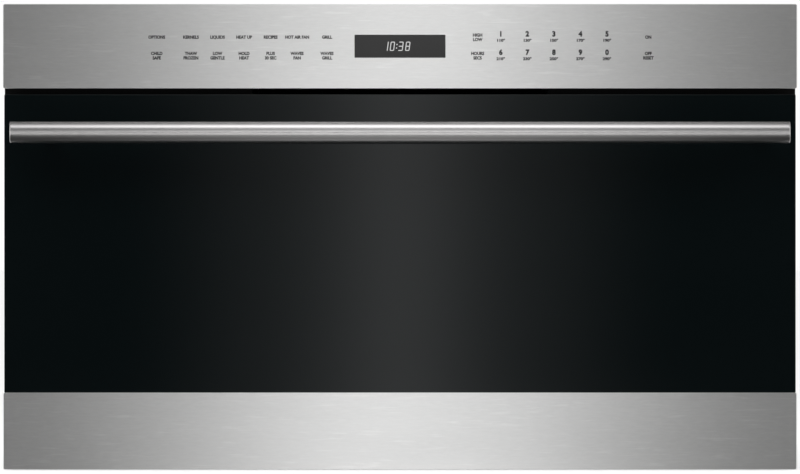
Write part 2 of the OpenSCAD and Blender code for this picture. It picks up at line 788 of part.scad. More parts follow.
module panel_carrier() {
    wall = 2;
    back = 1.5;
    side_gap = 0.2;
    w = fascia_w - 2 * steel_t - 2 * side_gap;
    h = fascia_h - 2 * steel_t - 2 * side_gap;
    color(dark_plastic) {
        difference() {
            slab(carrier_y, frame_y - carrier_y) translate([0, fascia_mid]) rounded(w, h, 1);
            slab(carrier_y - eps, frame_y - carrier_y - back + eps) translate([0, fascia_mid])
                square([w - 2 * wall, h - 2 * wall], center = true);
            for (s = [-1, 1]) slab(frame_y - 5, 10) translate([s * 100, fascia_mid + 12]) slot(50, 16);
        }
        for (s = [-1, 1], t = [-1, 1])
            translate([s * (board_w / 2 - 6), 0, fascia_mid + t * (board_h / 2 - 5)])
                rod_y(board_y + board_t, frame_y - back - board_y - board_t, 3.5);
        for (s = [-1, 1]) block([s * 240 - 1, carrier_y, fascia_mid - h / 2 + 1],
            [s * 240 + 1, frame_y - 1, fascia_mid + h / 2 - 1]);
    }
}

module power_board() {
    l = 180;
    w = duct_w - 50;
    y0 = back_y + 50;
    color(circuit_green) block([-w / 2, y0, power_z], [w / 2, y0 + l, power_z + board_t]);
    color(dark_plastic) {
        for (i = [0 : 4]) block([-w / 2 + 12 + 26 * i, y0 + 12, power_z + board_t],
            [-w / 2 + 32 + 26 * i, y0 + 40, power_z + board_t + 16]);
        for (i = [0 : 2]) block([30 + 30 * i, y0 + l - 22, power_z + board_t],
            [52 + 30 * i, y0 + l - 6, power_z + board_t + 12]);
        for (s = [-1, 1], y = [y0 + 5, y0 + l - 5]) translate([s * (w / 2 - 5), y, duct_z + duct_h])
            cylinder(h = power_z - duct_z - duct_h, r = 3);
    }
    color(copper) block([30, y0 + 50, power_z + board_t], [78, y0 + 92, power_z + board_t + 30]);
    color("#3d6fa5") for (i = [0 : 1]) translate([-60 + 34 * i, y0 + 92, power_z + board_t])
        cylinder(h = 28, r = 11);
}

module noise_filter() {
    y0 = case_back - 175;
    x0 = -inner_x + 14;
    z0 = pan_top + 10;
    color(circuit_green) block([x0, y0, z0], [x0 + 76, y0 + 110, z0 + board_t]);
    color(dark_plastic) {
        for (x = [x0 + 6, x0 + 70], y = [y0 + 6, y0 + 104]) translate([x, y, pan_top])
            cylinder(h = z0 - pan_top, r = 3);
        for (i = [0 : 1]) block([x0 + 12, y0 + 8 + 20 * i, z0 + board_t],
            [x0 + 44, y0 + 22 + 20 * i, z0 + board_t + 20]);
    }
    color(copper) translate([x0 + 38, y0 + 76, z0 + board_t]) difference() {
        cylinder(h = 16, r = 20);
        translate([0, 0, -eps]) cylinder(h = 16 + 2 * eps, r = 9);
    }
}

module terminal_block() {
    poles = 3;
    pitch = 18;
    color("#d9d5c8") translate([-inner_x + 44, case_back - case_t - 24, skid_h + 96]) difference() {
        cube([poles * pitch, 24, 30]);
        for (i = [0 : poles - 1]) translate([3 + pitch * i, -eps, 6]) cube([pitch - 6, 10, 18]);
    }
}

module cable_gland() {
    r = gland_bore / 2;
    color(dark_plastic) gland_place() difference() {
        union() {
            rod_y(case_back - case_t - 9, gland_out + case_t + 9 - 1, r + 3.5);
            rod_y(case_back, 5, r + 7);
            rod_y(case_back, gland_out, r + 5);
            rod_y(case_back - case_t - 6, 6, r + 7);
        }
        rod_y(case_back - 20, 40, r);
    }
}

// Side view of the blower housing: a round chamber, an outlet forwards and an inlet upwards.
module blower_outline() {
    difference() {
        translate([duct_end, blower_low]) square([blower_box, blower_box]);
        translate([blower_y, blower_z]) circle(blower_r + 6);
        translate([duct_end - eps, duct_z + 1]) square([blower_y - duct_end + eps, duct_h - 2]);
        translate([blower_y - 16, blower_z]) square([40, 80]);
    }
}

module blower_housing() {
    end_t = 2;
    color(galvanised) {
        across(-duct_w / 2, duct_w) blower_outline();
        for (s = [-1, 1]) difference() {
            across(s > 0 ? duct_w / 2 : -duct_w / 2 - end_t, end_t)
                translate([duct_end, blower_low]) square([blower_box, blower_box]);
            translate([0, blower_y, blower_z]) rod_x(s * duct_w / 2 - 5, 10, shaft_r + pin_gap);
        }
        for (s = [-1, 1], y = [duct_end + 10, duct_end + blower_box - 10])
            translate([s * (duct_w / 2 - 12), y, wool_top]) cylinder(h = blower_low - wool_top, r = 5);
    }
}

module blower_motor() {
    x0 = duct_w / 2 + 2;
    color("#6d7073") translate([0, blower_y, blower_z]) difference() {
        union() {
            rod_x(x0, 34, 24);
            rod_x(x0, 3, 30);
        }
        rod_x(x0 - eps, 30, shaft_r + pin_gap);
    }
}

module blower_wheel() {
    blades = 20;
    disc_t = 2;
    x0 = -blower_l / 2;
    color(dark_plastic) translate([0, blower_y, blower_z]) {
        for (x = [x0, -disc_t / 2, -x0 - disc_t]) rod_x(x, disc_t, blower_r);
        for (i = [0 : blades - 1]) rotate([i * 360 / blades, 0, 0]) translate([x0, 0, blower_r - 8])
            rotate([24, 0, 0]) cube([blower_l, 1.2, 7]);
        rod_x(-duct_w / 2 - 4, duct_w / 2 - blower_l / 2 + 5, shaft_r);
        rod_x(blower_l / 2 - 1, duct_w / 2 - blower_l / 2 + 24, shaft_r);
    }
}

module air_duct() {
    wall = 1;
    color(galvanised) slab(back_y, duct_end - back_y) translate([0, duct_z + duct_h / 2])
        hollow(duct_w, duct_h, 1.5, wall);
}

module latch_blocks() {
    color("#e4e2da") for (s = [-1, 1]) difference() {
        block([s * latch_x - 14, back_y, latch_z - 16], [s * latch_x + 14, switch_y, latch_z + 18]);
        block([s * latch_x - slot_w / 2, back_y - eps, latch_z - slot_down],
            [s * latch_x + slot_w / 2, switch_y + eps, latch_z + slot_up]);
    }
}

module interlock_switches() {
    body_w = 10;
    color(dark_plastic) for (x = switch_places) difference() {
        block([x - body_w / 2, switch_y, latch_z - 14], [x + body_w / 2, switch_y + 18, latch_z + 15]);
        translate([x, 0, latch_z]) rod_y(switch_y - eps, 10 + eps, plunger_r + 2 * pin_gap);
    }
}

module switch_plungers() {
    tip_y = latch_y + latch_reach + 2 * run_gap;
    color("#c23b2e") for (x = switch_places) translate([x, 0, latch_z])
        rod_y(tip_y, switch_y + 5 - tip_y, plunger_r);
}

// Side view of a rounded ear about the hinge axis, with a straight tail to y.
module ear_outline(tail_y) {
    translate([hinge_y, hinge_z]) circle(ear_r);
    translate([hinge_y, hinge_z - ear_r]) square([tail_y - hinge_y, 2 * ear_r]);
}

module hinge_brackets() {
    plate_t = 2.5;
    color(galvanised) for (s = [-1, 1]) {
        slab(frame_y - plate_t, plate_t) translate([s * (ear_in + ear_out) / 2, skid_h + 19])
            square([ear_out - ear_in + 10, 36], center = true);
        for (x = [ear_in, ear_out]) difference() {
            across(s * x - ear_t / 2, ear_t) ear_outline(frame_y - plate_t);
            translate([0, hinge_y, hinge_z]) rod_x(s * x - 5, 10, hinge_pin_r + seat_gap);
        }
    }
}

module hinge_pins() {
    l = ear_out - ear_in + 2 * ear_t;
    color("#b5b8ba") for (s = [-1, 1]) translate([s * (ear_in + ear_out) / 2, hinge_y, hinge_z]) {
        rod_x(-l / 2, l, hinge_pin_r);
        rod_x(s > 0 ? l / 2 - 1.5 : -l / 2, 1.5, hinge_pin_r + 1.5);
    }
}

// The closing springs on the hinge pins, as plain sleeves of their outer size.
module hinge_springs() {
    l = ear_out - hinge_x - ear_t - run_gap;
    middle = ear_out - ear_t / 2 - l / 2;
    color("#8d9194") for (s = [-1, 1]) translate([s * middle, hinge_y, hinge_z]) difference() {
        rod_x(-l / 2, l, 5.6);
        rod_x(-l, 2 * l, hinge_pin_r + 0.3);
    }
}

module hinge_arms() {
    arm_t = ear_t;
    leg_y = 18;
    top_z = 110;
    color(galvanised) for (s = [-1, 1]) {
        difference() {
            across(s * hinge_x - arm_t / 2, arm_t) {
                translate([hinge_y, hinge_z]) circle(ear_r);
                translate([hinge_y - 2, hinge_z]) square([leg_y - hinge_y + 2 - 1, sill_z - hinge_z + 4]);
                translate([pan_y, sill_z + door_sheet + 1])
                    square([leg_y - pan_y, top_z - sill_z - door_sheet - 1]);
            }
            translate([0, hinge_y, hinge_z]) rod_x(s * hinge_x - 5, 10, hinge_pin_r + pin_gap);
        }
        slab(pan_y, 3) translate([s * (hinge_x - 9), 75]) square([18, 60], center = true);
    }
}

module door_seal() {
    color("#3a3a3a") slab(door_t + 0.3, frame_y - door_t - 0.3) translate([0, cavity_mid])
        hollow(cavity_w + 20, cavity_h + 20, cavity_r + 10, 7);
}

module case_screws() {
    head_r = 4;
    head_t = 2.5;
    mid_z = pan_top + case_h / 2 - 3;
    step_y = (case_d - 80) / 3;
    color("#8d9194") {
        for (x = [-1 : 0.5 : 1], z = [-1, 1])
            translate([x * (inner_x - 14), 0, mid_z + z * (case_h / 2 - 16)])
                rod_y(case_back, head_t, head_r);
        for (s = [-1, 1], i = [0 : 3]) translate([0, back_y + 40 + i * step_y, pan_top + 7])
            rod_x(s > 0 ? case_w / 2 : -case_w / 2 - head_t, head_t, head_r);
    }
}

module door_glass() {
    color("#070b0c") slab(0, glass_t) difference() {
        translate([0, glass_z + glass_h / 2]) rounded(glass_w, glass_h, 0.8);
        for (s = [-1, 1]) translate([s * post_x, handle_z]) circle(stud_r + 1);
    }
}

module door_strip() {
    side_d = 16;
    bottom_d = 14;
    top_d = glass_t;
    color(stainless) difference() {
        slab(0, side_d) translate([0, door_z + strip_h / 2]) rounded(strip_w, strip_h, corner_r);
        slab(steel_t, side_d) translate([0, door_z + strip_h / 2])
            rounded(strip_w - 2 * steel_t, strip_h - 2 * steel_t, inner_r);
        block([-strip_w / 2 + steel_t, top_d, glass_z - 5],
            [strip_w / 2 - steel_t, side_d + eps, glass_z + eps]);
        block([-strip_w / 2 + steel_t, bottom_d, door_z - eps],
            [strip_w / 2 - steel_t, side_d + eps, door_z + 5]);
        for (s = [-1, 1]) block([s * (ear_in + ear_out) / 2 - 17, steel_t + 0.5, door_z - eps],
            [s * (ear_in + ear_out) / 2 + 17, side_d + eps, door_z + 5]);
    }
}

module door_frame() {
    w = glass_w - 6.5;
    h = door_top - 1.5 - sill_z;
    mid = sill_z + h / 2;
    lug_t = 4;
    lug_x = 180; // the outer lugs that carry the latch rod
    color(black_enamel) difference() {
        union() {
            slab(glass_t, door_sheet) translate([0, mid]) square([w, h], center = true);
            slab(glass_t, door_t - door_sheet - glass_t) translate([0, mid]) difference() {
                square([w, h], center = true);
                square([w - 2 * door_sheet, h - 2 * door_sheet], center = true);
            }
            for (x = [-lug_x, 0, lug_x]) block([x - lug_t / 2, pan_y, latch_z - 8],
                [x + lug_t / 2, door_t - door_sheet - 2, latch_z + 8]);
        }
        slab(glass_t - eps, door_sheet + 2 * eps) {
            translate([0, cavity_mid]) rounded(window_w, window_h, 6);
            for (s = [-1, 1]) translate([s * post_x, handle_z]) circle(stud_r + 0.3);
        }
        translate([0, latch_y, latch_z]) rod_x(-lug_x - 10, 2 * lug_x + 20, latch_rod_r + pin_gap);
        for (s = [-1, 1]) block([s * hinge_x - 3, pan_y, sill_z - eps],
            [s * hinge_x + 3, door_t - door_sheet, sill_z + door_sheet + eps]);
    }
}

module door_inner_panel() {
    w = glass_w - 12;
    h = door_top - 4 - sill_z - 2;
    mid = sill_z + 2 + h / 2;
    seat_y = door_t + plug_d - inner_glass_t - 1; // ledge that the inner glass rests on
    color(black_enamel) difference() {
        union() {
            slab(door_t - door_sheet, door_sheet) translate([0, mid]) rounded(w, h, 3);
            slab(door_t, plug_d) translate([0, cavity_mid]) rounded(plug_w, plug_h, cavity_r - plug_gap);
        }
        slab(door_t - door_sheet - eps, door_sheet + plug_d + 2 * eps) translate([0, cavity_mid])
            rounded(window_w, window_h, 6);
        slab(seat_y, inner_glass_t + 1 + eps) translate([0, cavity_mid])
            rounded(window_w + 2 * ledge, window_h + 2 * ledge, 6);
        slab(door_t - door_sheet - eps, seat_y - door_t + eps) translate([0, cavity_mid]) difference() {
            rounded(plug_w - 2 * door_sheet, plug_h - 2 * door_sheet, cavity_r - plug_gap);
            rounded(window_w + 2 * door_sheet, window_h + 2 * door_sheet, 6 + door_sheet);
        }
        for (s = [-1, 1]) slab(door_t - door_sheet - eps, door_sheet + 2 * eps)
            translate([s * latch_x - slot_w / 2, latch_z - slot_down]) square([slot_w, slot_down + slot_up]);
    }
}

module inner_glass() {
    side_gap = 0.5;
    color(clear_glass) slab(door_t + plug_d - inner_glass_t - 1, inner_glass_t) translate([0, cavity_mid])
        rounded(window_w + 2 * ledge - 2 * side_gap, window_h + 2 * ledge - 2 * side_gap, 5.5);
}

// Perforated sheet behind the window. Its holes are finer than the model carries.
module window_screen() {
    screen_t = 0.8;
    color("#101112") slab(door_t - door_sheet - screen_t, screen_t) translate([0, cavity_mid])
        square([window_w + 16, window_h + 16], center = true);
}

module handle_tube() {
    wall = 2;
    plug = 5;
    color("#cfcfce") translate([0, handle_y, handle_z]) {
        difference() {
            rod_x(-handle_l / 2, handle_l, handle_r);
            rod_x(-handle_l / 2 - eps, handle_l + 2 * eps, handle_r - wall);
        }
        for (s = [-1, 1]) rod_x(s > 0 ? handle_l / 2 - plug : -handle_l / 2, plug, handle_r - wall);
    }
}

module handle_posts() {
    nut_r = 6;
    nut_t = 5;
    color("#cfcfce") for (s = [-1, 1]) {
        difference() {
            translate([s * post_x, 0, handle_z]) {
                rod_y(handle_y, -handle_y, post_dia / 2);
                rod_y(-1, pan_y + 9, stud_r);
            }
            translate([0, handle_y, handle_z]) rod_x(s * post_x - 20, 40, handle_r + seat_gap);
        }
        translate([s * post_x, pan_y, handle_z]) rotate([-90, 0, 0]) difference() {
            cylinder(h = nut_t, r = nut_r, $fn = 6);
            translate([0, 0, -eps]) cylinder(h = nut_t + 2 * eps, r = stud_r + seat_gap);
        }
    }
}

// The rod in the top of the door with its two hooks.
module latch_bar() {
    l = 2 * latch_x + 24;
    color("#e4e2da") {
        translate([0, latch_y, latch_z]) rod_x(-l / 2, l, latch_rod_r);
        for (s = [-1, 1]) across(s * latch_x - hook_w / 2, hook_w) translate([latch_y, latch_z]) {
            circle(6);
            translate([0, -5]) square([latch_reach, 10]);
            translate([latch_reach - 7, -8]) square([7, 8]);
        }
    }
}

module glass_tray() {
    r = tray_dia / 2;
    color(clear_glass) translate([0, tray_y, tray_z]) {
        rotate_extrude($fn = 96) polygon([[0, 0], [r - 16, 0], [r, tray_rim - 3], [r, tray_rim],
            [r - 4, tray_rim], [r - 18, tray_t], [0, tray_t]]);
        for (i = [0 : 2]) rotate(60 + 120 * i) translate([19, 0, -5]) cylinder(h = 5.5, r = 4);
    }
}

module turntable_hub() {
    hub_z = cavity_z + 0.6;
    arm_z = tray_z - 5;
    color("#e4e2da") translate([0, tray_y, 0]) {
        translate([0, 0, hub_z]) cylinder(h = arm_z - hub_z, r = 11);
        for (i = [0 : 2]) rotate(120 * i) translate([0, -4, arm_z]) cube([24, 8, tray_z - arm_z]);
        translate([0, 0, arm_z]) cylinder(h = tray_z - arm_z, r = 11);
        translate([0, 0, motor_top - 12]) cylinder(h = hub_z - motor_top + 12, r = 3.5);
    }
}

module roller_ring() {
    inner = track_r - 10;
    z0 = roller_z - ring_t / 2;
    color("#e4e2da") translate([0, tray_y, 0]) {
        translate([0, 0, z0]) linear_extrude(ring_t) {
            difference() {
                circle(inner + 4);
                circle(inner - 4);
            }
            difference() {
                circle(18);
                circle(13.5);
            }
            for (i = [0 : 2]) rotate(120 * i) translate([16, -3]) square([inner - 17, 6]);
        }
        for (i = [0 : 2]) rotate(120 * i) translate([0, 0, roller_z]) {
            rod_x(inner + 2, 19, axle_r);
            rod_x(inner + 2, track_r - roller_w / 2 - run_gap - inner - 2, axle_r + 1.5);
            rod_x(track_r + roller_w / 2 + run_gap, 2, axle_r + 1.5);
        }
    }
}

module roller(i) {
    color("#f2f1ec") translate([0, tray_y, 0]) rotate(120 * i) translate([0, 0, roller_z]) difference() {
        rod_x(track_r - roller_w / 2, roller_w, roller_r);
        rod_x(track_r - roller_w, 2 * roller_w, axle_r + pin_gap);
    }
}

placed() base_pan();
placed() outer_wrap();
placed() rear_panel();
placed() front_frame();
placed() cavity_box();
placed() fan_baffle();
placed() convection_housing();
placed() ring_heater();
placed() convection_motor();
placed() broil_element();
placed() insulation_wrap();
placed() waveguide();
placed() waveguide_cover();
placed() magnetron();
placed() fan_shroud();
placed() fan_motor();
placed() transformer_core();
placed() transformer_coils();
placed() hv_capacitor();
placed() lamp_housing();
placed() turntable_motor();
placed() fascia_panel();
placed() display_window();
placed() touch_board();
placed() control_board();
placed() panel_carrier();
placed() power_board();
placed() noise_filter();
placed() terminal_block();
placed() cable_gland();
placed() blower_housing();
placed() blower_motor();
placed() air_duct();
placed() latch_blocks();
placed() interlock_switches();
placed() hinge_brackets();
placed() hinge_pins();
placed() hinge_springs();
placed() door_seal();
placed() case_screws();
placed() door_glass();
placed() door_strip();
placed() door_frame();
placed() door_inner_panel();
placed() inner_glass();
placed() window_screen();
placed() handle_tube();
placed() handle_posts();
placed() hinge_arms();
placed() latch_bar();
placed() glass_tray();
placed() turntable_hub();
placed() roller_ring();
placed() roller(0);  // roller_1
placed() roller(1);  // roller_2
placed() roller(2);  // roller_3
placed() convection_fan();
placed() magnetron_fan();
placed() blower_wheel();
placed() switch_plungers();
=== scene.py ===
"""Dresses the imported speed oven: finishes, printed keys, small fittings, studio and camera."""

import json
import math

import bmesh
import bpy
from mathutils import Matrix, Vector


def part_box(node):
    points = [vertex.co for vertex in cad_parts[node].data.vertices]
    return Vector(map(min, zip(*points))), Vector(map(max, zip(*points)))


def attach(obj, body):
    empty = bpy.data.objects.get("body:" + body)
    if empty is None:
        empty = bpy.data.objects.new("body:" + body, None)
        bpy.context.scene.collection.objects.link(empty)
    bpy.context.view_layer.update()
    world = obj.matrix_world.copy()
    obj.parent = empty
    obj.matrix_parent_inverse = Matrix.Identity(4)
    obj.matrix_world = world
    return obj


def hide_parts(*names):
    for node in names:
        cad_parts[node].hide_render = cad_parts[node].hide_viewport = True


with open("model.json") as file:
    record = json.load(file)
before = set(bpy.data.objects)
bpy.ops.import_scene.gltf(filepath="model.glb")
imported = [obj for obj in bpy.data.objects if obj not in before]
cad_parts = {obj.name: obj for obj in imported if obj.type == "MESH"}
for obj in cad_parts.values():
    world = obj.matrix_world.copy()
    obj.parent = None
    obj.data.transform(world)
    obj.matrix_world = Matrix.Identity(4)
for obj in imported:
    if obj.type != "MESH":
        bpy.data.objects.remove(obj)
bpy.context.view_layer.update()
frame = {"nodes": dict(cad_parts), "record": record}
NODES = frame["nodes"]
MM = 0.001
UP = (0, 0, 1)
BACKWARD = (0, 1, 0)

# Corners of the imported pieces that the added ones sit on
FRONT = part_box("door_glass")[0].y
FASCIA_LOW, FASCIA_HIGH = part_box("fascia_panel")
LENS_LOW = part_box("display_window")[0]
PANEL_LOW, PANEL_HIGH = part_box("door_inner_panel")
REAR_LOW, REAR_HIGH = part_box("rear_panel")
PAN_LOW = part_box("base_pan")[0]
GLAND_LOW, GLAND_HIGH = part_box("cable_gland")
FASCIA_MID = (FASCIA_LOW.z + FASCIA_HIGH.z) / 2


class Value:
    """A shader value that ordinary arithmetic works on: each operation adds its Math node."""

    def __init__(self, finish, socket):
        self.finish = finish
        self.socket = socket

    def math(self, operation, *values):
        return self.finish.node("Math", {"operation": operation}, dict(enumerate(values)))

    def __add__(self, other):
        return self.math("ADD", self, other)

    def __radd__(self, other):
        return self.math("ADD", other, self)

    def __sub__(self, other):
        return self.math("SUBTRACT", self, other)

    def __rsub__(self, other):
        return self.math("SUBTRACT", other, self)

    def __mul__(self, other):
        return self.math("MULTIPLY", self, other)

    def __rmul__(self, other):
        return self.math("MULTIPLY", other, self)

    def __truediv__(self, other):
        return self.math("DIVIDE", self, other)

    def __rtruediv__(self, other):
        return self.math("DIVIDE", other, self)

    def __abs__(self):
        return self.math("ABSOLUTE", self)

    def above(self, edge):
        return self.math("GREATER_THAN", self, edge)

    def below(self, edge):
        return self.math("LESS_THAN", self, edge)

    def fraction(self):
        return self.math("FRACT", self)

    def sine(self):
        return self.math("SINE", self)

    def root(self):
        return self.math("SQRT", self)

    def exponential(self):
        return self.math("EXPONENT", self)


class Finish:
    """A procedural material or world: one method adds every node, and a few name the usual ones."""

    def __init__(self, name, owner=None, **sockets):
        self.owner = owner or bpy.data.materials.new(name)
        self.owner.use_nodes = True
        self.tree = self.owner.node_tree
        self.surface = self.tree.nodes.get("Principled BSDF")
        for key, value in sockets.items():
            self.surface.inputs[key.replace("_", " ")].default_value = value

    def node(self, kind, settings=None, sockets=None, output=0):
        """Adds a node: its settings first, then the values or links of its sockets."""
        made = self.tree.nodes.new("ShaderNode" + kind)
        for key, value in (settings or {}).items():
            if key == "stops":
                set_stops(made.color_ramp, value)
            else:
                setattr(made, key, value)
        for key, value in (sockets or {}).items():
            self.link(made.inputs[key], value)
        return Value(self, made.outputs[output])

    def link(self, socket, value):
        if isinstance(value, Value):
            self.tree.links.new(value.socket, socket)
        else:
            socket.default_value = value

    def feed(self, name, value):
        """Sets or links a socket of the surface."""
        self.link(self.surface.inputs[name], value)

    def place(self):
        """The place on the piece, in metres."""
        return self.node("TexCoord", output="Object")

    def part(self, vector, name):
        """One coordinate of a vector."""
        return self.node("SeparateXYZ", None, {0: vector}, output=name)

    def axis(self, name):
        """One coordinate of the place."""
        return self.part(self.place(), name)

    def stretched(self, scale, turn=(0, 0, 0)):
        """The place times a scale, which is one number or one for each axis."""
        scale = scale if isinstance(scale, tuple) else (scale,) * 3
        sockets = {"Vector": self.place(), "Scale": scale, "Rotation": turn}
        return self.node("Mapping", None, sockets)

    def noise(self, scale, detail=2.0, rough=0.5, turn=(0, 0, 0)):
        """Cloudy noise from 0 to 1, with that many features a metre."""
        sockets = {"Vector": self.stretched(scale, turn), "Scale": 1.0}
        return self.node("TexNoise", None, {**sockets, "Detail": detail, "Roughness": rough})

    def cells(self, vector, output="Distance", **settings):
        """Cells like crystals, one a unit: how far their middles are, or a colour for each."""
        return self.node("TexVoronoi", settings, {"Vector": vector, "Scale": 1.0}, output)

    def mix(self, factor, low, high):
        return self.node("Mix", {"data_type": "RGBA"}, {0: factor, 6: low, 7: high}, output=2)

    def blend(self, factor, colour, spread):
        """A colour that varies by a share to either side of itself."""
        return self.mix(factor, shade(colour, 1 - spread), shade(colour, 1 + spread))

    def run(self, factor, stops):
        """A run through colours, each at its place from 0 to 1."""
        return self.node("ValToRGB", {"stops": stops}, {0: factor})

    def ramp(self, factor, low, high):
        """Runs smoothly from 0 at low to 1 at high."""
        sockets = {"Value": factor, "From Min": low, "From Max": high}
        return self.node("MapRange", {"interpolation_type": "SMOOTHSTEP"}, sockets)

    def bump(self, height, depth, strength=1.0):
        sockets = {"Height": height, "Distance": depth, "Strength": strength}
        self.feed("Normal", self.node("Bump", None, sockets, output="Normal"))


def set_stops(ramp, stops):
    while len(ramp.elements) < len(stops):
        ramp.elements.new(0.5)
    for element, (position, colour) in zip(ramp.elements, stops):
        element.position = position
        element.color = colour


def shade(colour, factor=1.0):
    return (colour[0] * factor, colour[1] * factor, colour[2] * factor, 1.0)


def grey(level):
    return (level, level, level, 1)


# Features a metre along X, Y and Z, of brushed sheet, of the brushed bar and of scratches
SHEET_GRAIN = (110, 110, 440)
BAR_GRAIN = (4, 900, 900)
SCRATCHES = (34, 34, 420)


def brushed_steel(name, colour, roughness, spread, contrast, grain, wear=1.0, edge=1.0):
    """Steel with hair lines drawn out along X, broader bands, and short bright scratches.

    The spread draws reflections out up and down, and the edge is how bright it stays at a
    grazing angle.
    """
    finish = Finish(name, Metallic=1.0, Anisotropic=spread, Anisotropic_Rotation=0.25,
                    Specular_Tint=grey(edge))
    hair = finish.noise(grain, detail=3.0, rough=0.7)
    bands = finish.noise((2.5, 2.5, grain[2] / 9))
    scratches = finish.ramp(finish.noise(SCRATCHES, detail=1.0), 0.60, 0.80)
    smear = finish.noise((6, 6, 14), detail=1.0)
    fine = finish.noise((grain[0] / 2, grain[1] * 8, grain[2] * 8), detail=1.0)
    tone = 0.60 * hair + 0.20 * bands + wear * (0.32 * scratches + 0.28 * (fine - 0.5)) + 0.06
    finish.feed("Base Color", finish.blend(tone, colour, contrast))
    finish.feed("Roughness", roughness + wear * (0.10 * (hair - 0.5) + 0.06 * (smear - 0.5)))
    finish.bump(hair, 0.004 * MM, 0.35 * wear)
    return finish.owner


def satin_steel(name, colour, roughness):
    """Matt rolled sheet: fine specks, faint clouds and a few wiping marks."""
    finish = Finish(name, Metallic=1.0, Anisotropic=0.3)
    specks = finish.noise(900)
    clouds = finish.noise(9, detail=3.0)
    wipes = finish.noise((12, 90, 90), turn=(0.2, 0.4, 0.3))
    finish.feed("Base Color", finish.blend(0.3 * specks + 0.4 * clouds + 0.3 * wipes, colour, 0.1))
    finish.feed("Roughness", roughness + 0.12 * (wipes - 0.5) + 0.08 * (specks - 0.5))
    finish.bump(specks, 0.01 * MM, 0.4)
    return finish.owner


def galvanised_steel(name, colour):
    """Zinc-coated sheet: small angular crystals, faintly different in tone, and a dull film."""
    finish = Finish(name, Metallic=0.85, Specular_IOR_Level=0.4)
    bend = finish.noise(160, detail=1.0) * 0.35
    bent = finish.node("VectorMath", {"operation": "ADD"}, {0: finish.stretched(135), 1: bend})
    crystal = finish.cells(bent, output="Color")
    tone = finish.node("SeparateColor", None, {0: crystal}, output="Red")
    film = finish.noise(4, detail=4.0)
    rolled = finish.noise((90, 3, 90))
    finish.feed("Base Color", finish.blend(0.45 * tone + 0.3 * film + 0.25 * rolled, colour, 0.1))
    finish.feed("Roughness", 0.36 + 0.09 * tone + 0.10 * (film - 0.5))
    finish.bump(tone, 0.004 * MM, 0.25)
    return finish.owner


def plated_steel(name, colour, roughness):
    """Bright zinc plate with a faint blue and straw cast and fine handling marks."""
    finish = Finish(name, Metallic=1.0)
    cast = finish.noise(60)
    marks = finish.noise((300, 300, 900), detail=3.0)
    warm = (colour[0] * 1.08, colour[1] * 1.04, colour[2] * 0.92, 1.0)
    cool = (colour[0] * 0.93, colour[1] * 0.98, colour[2] * 1.08, 1.0)
    finish.feed("Base Color", finish.mix(cast, cool, warm))
    finish.feed("Roughness", roughness + 0.16 * (marks - 0.5))
    finish.bump(marks, 0.008 * MM, 0.3)
    return finish.owner


def painted(name, colour, roughness, coat=0.0, fleck=None, shine=0.5):
    """Paint or enamel: orange peel, slow changes of gloss and, for enamel, fine light flecks."""
    finish = Finish(name, Coat_Weight=coat, Coat_Roughness=0.05, Specular_IOR_Level=shine)
    peel = finish.noise(420, detail=1.0)
    gloss = finish.noise(8)
    tone = finish.blend(gloss, colour, 0.12)
    if fleck:
        tone = finish.mix(finish.cells(finish.stretched(330)).below(0.16), tone, shade(fleck))
    finish.feed("Base Color", tone)
    finish.feed("Roughness", roughness + 0.08 * (gloss - 0.5))
    finish.bump(peel, 0.02 * MM, 0.5)
    return finish.owner


def moulded(name, colour, roughness, grain=0.03):
    """Moulded plastic with a spark-eroded texture, whose grain is its depth in millimetres."""
    finish = Finish(name)
    pits = finish.noise(700, detail=3.0, rough=0.6)
    finish.feed("Base Color", finish.blend(finish.noise(20), colour, 0.08))
    finish.feed("Roughness", roughness + 0.14 * (pits - 0.5))
    finish.bump(pits, grain * MM, 0.6)
    return finish.owner


def black_glass():
    """Tempered glass, black behind. A wiped film changes its gloss, and its cut edge is green."""
    finish = Finish("black_glass_finish", IOR=1.5)
    film = finish.noise((5, 5, 16), detail=3.0, turn=(0, 0.15, 0))
    dust = finish.noise(260)
    normal = finish.node("NewGeometry", output="True Normal")
    cut = 1 - abs(finish.part(normal, "Y"))
    body = finish.mix(film, (0.0019, 0.0036, 0.0040, 1), (0.0024, 0.0042, 0.0046, 1))
    finish.feed("Base Color", finish.mix(cut.above(0.5), body, (0.010, 0.026, 0.021, 1)))
    finish.feed("Roughness", 0.035 + 0.03 * film + 0.01 * dust)
    return finish.owner


def clear_glass(name, tint):
    """Clear glass with a slight wave and a trace of film."""
    finish = Finish(name, IOR=1.5, Transmission_Weight=1.0)
    film = finish.noise(30)
    finish.feed("Base Color", finish.mix(film, shade(tint, 0.97), shade(tint)))
    finish.feed("Roughness", 0.01 + 0.03 * film)
    finish.bump(film, 0.03 * MM, 0.2)
    return finish.owner


def display_lens():
    """Smoked lens with a faint haze."""
    finish = Finish("display_lens_finish", IOR=1.45)
    haze = finish.noise(120)
    finish.feed("Base Color", finish.mix(haze, grey(0.005), grey(0.008)))
    finish.feed("Roughness", 0.22 + 0.05 * haze)
    return finish.owner


def circuit_board():
    """Solder mask over copper tracks: paler lines where a track lies under it."""
    finish = Finish("circuit_board_finish", IOR=1.5)
    cells = finish.cells(finish.stretched(240), distance="MANHATTAN")
    tracks = abs((cells * 7).fraction() - 0.5).below(0.12)
    mask, track = (0.020, 0.085, 0.036, 1), (0.060, 0.170, 0.070, 1)
    finish.feed("Base Color", finish.mix(tracks, mask, track))
    finish.feed("Roughness", 0.34 + 0.1 * tracks)
    finish.bump(tracks, 0.035 * MM)
    return finish.owner


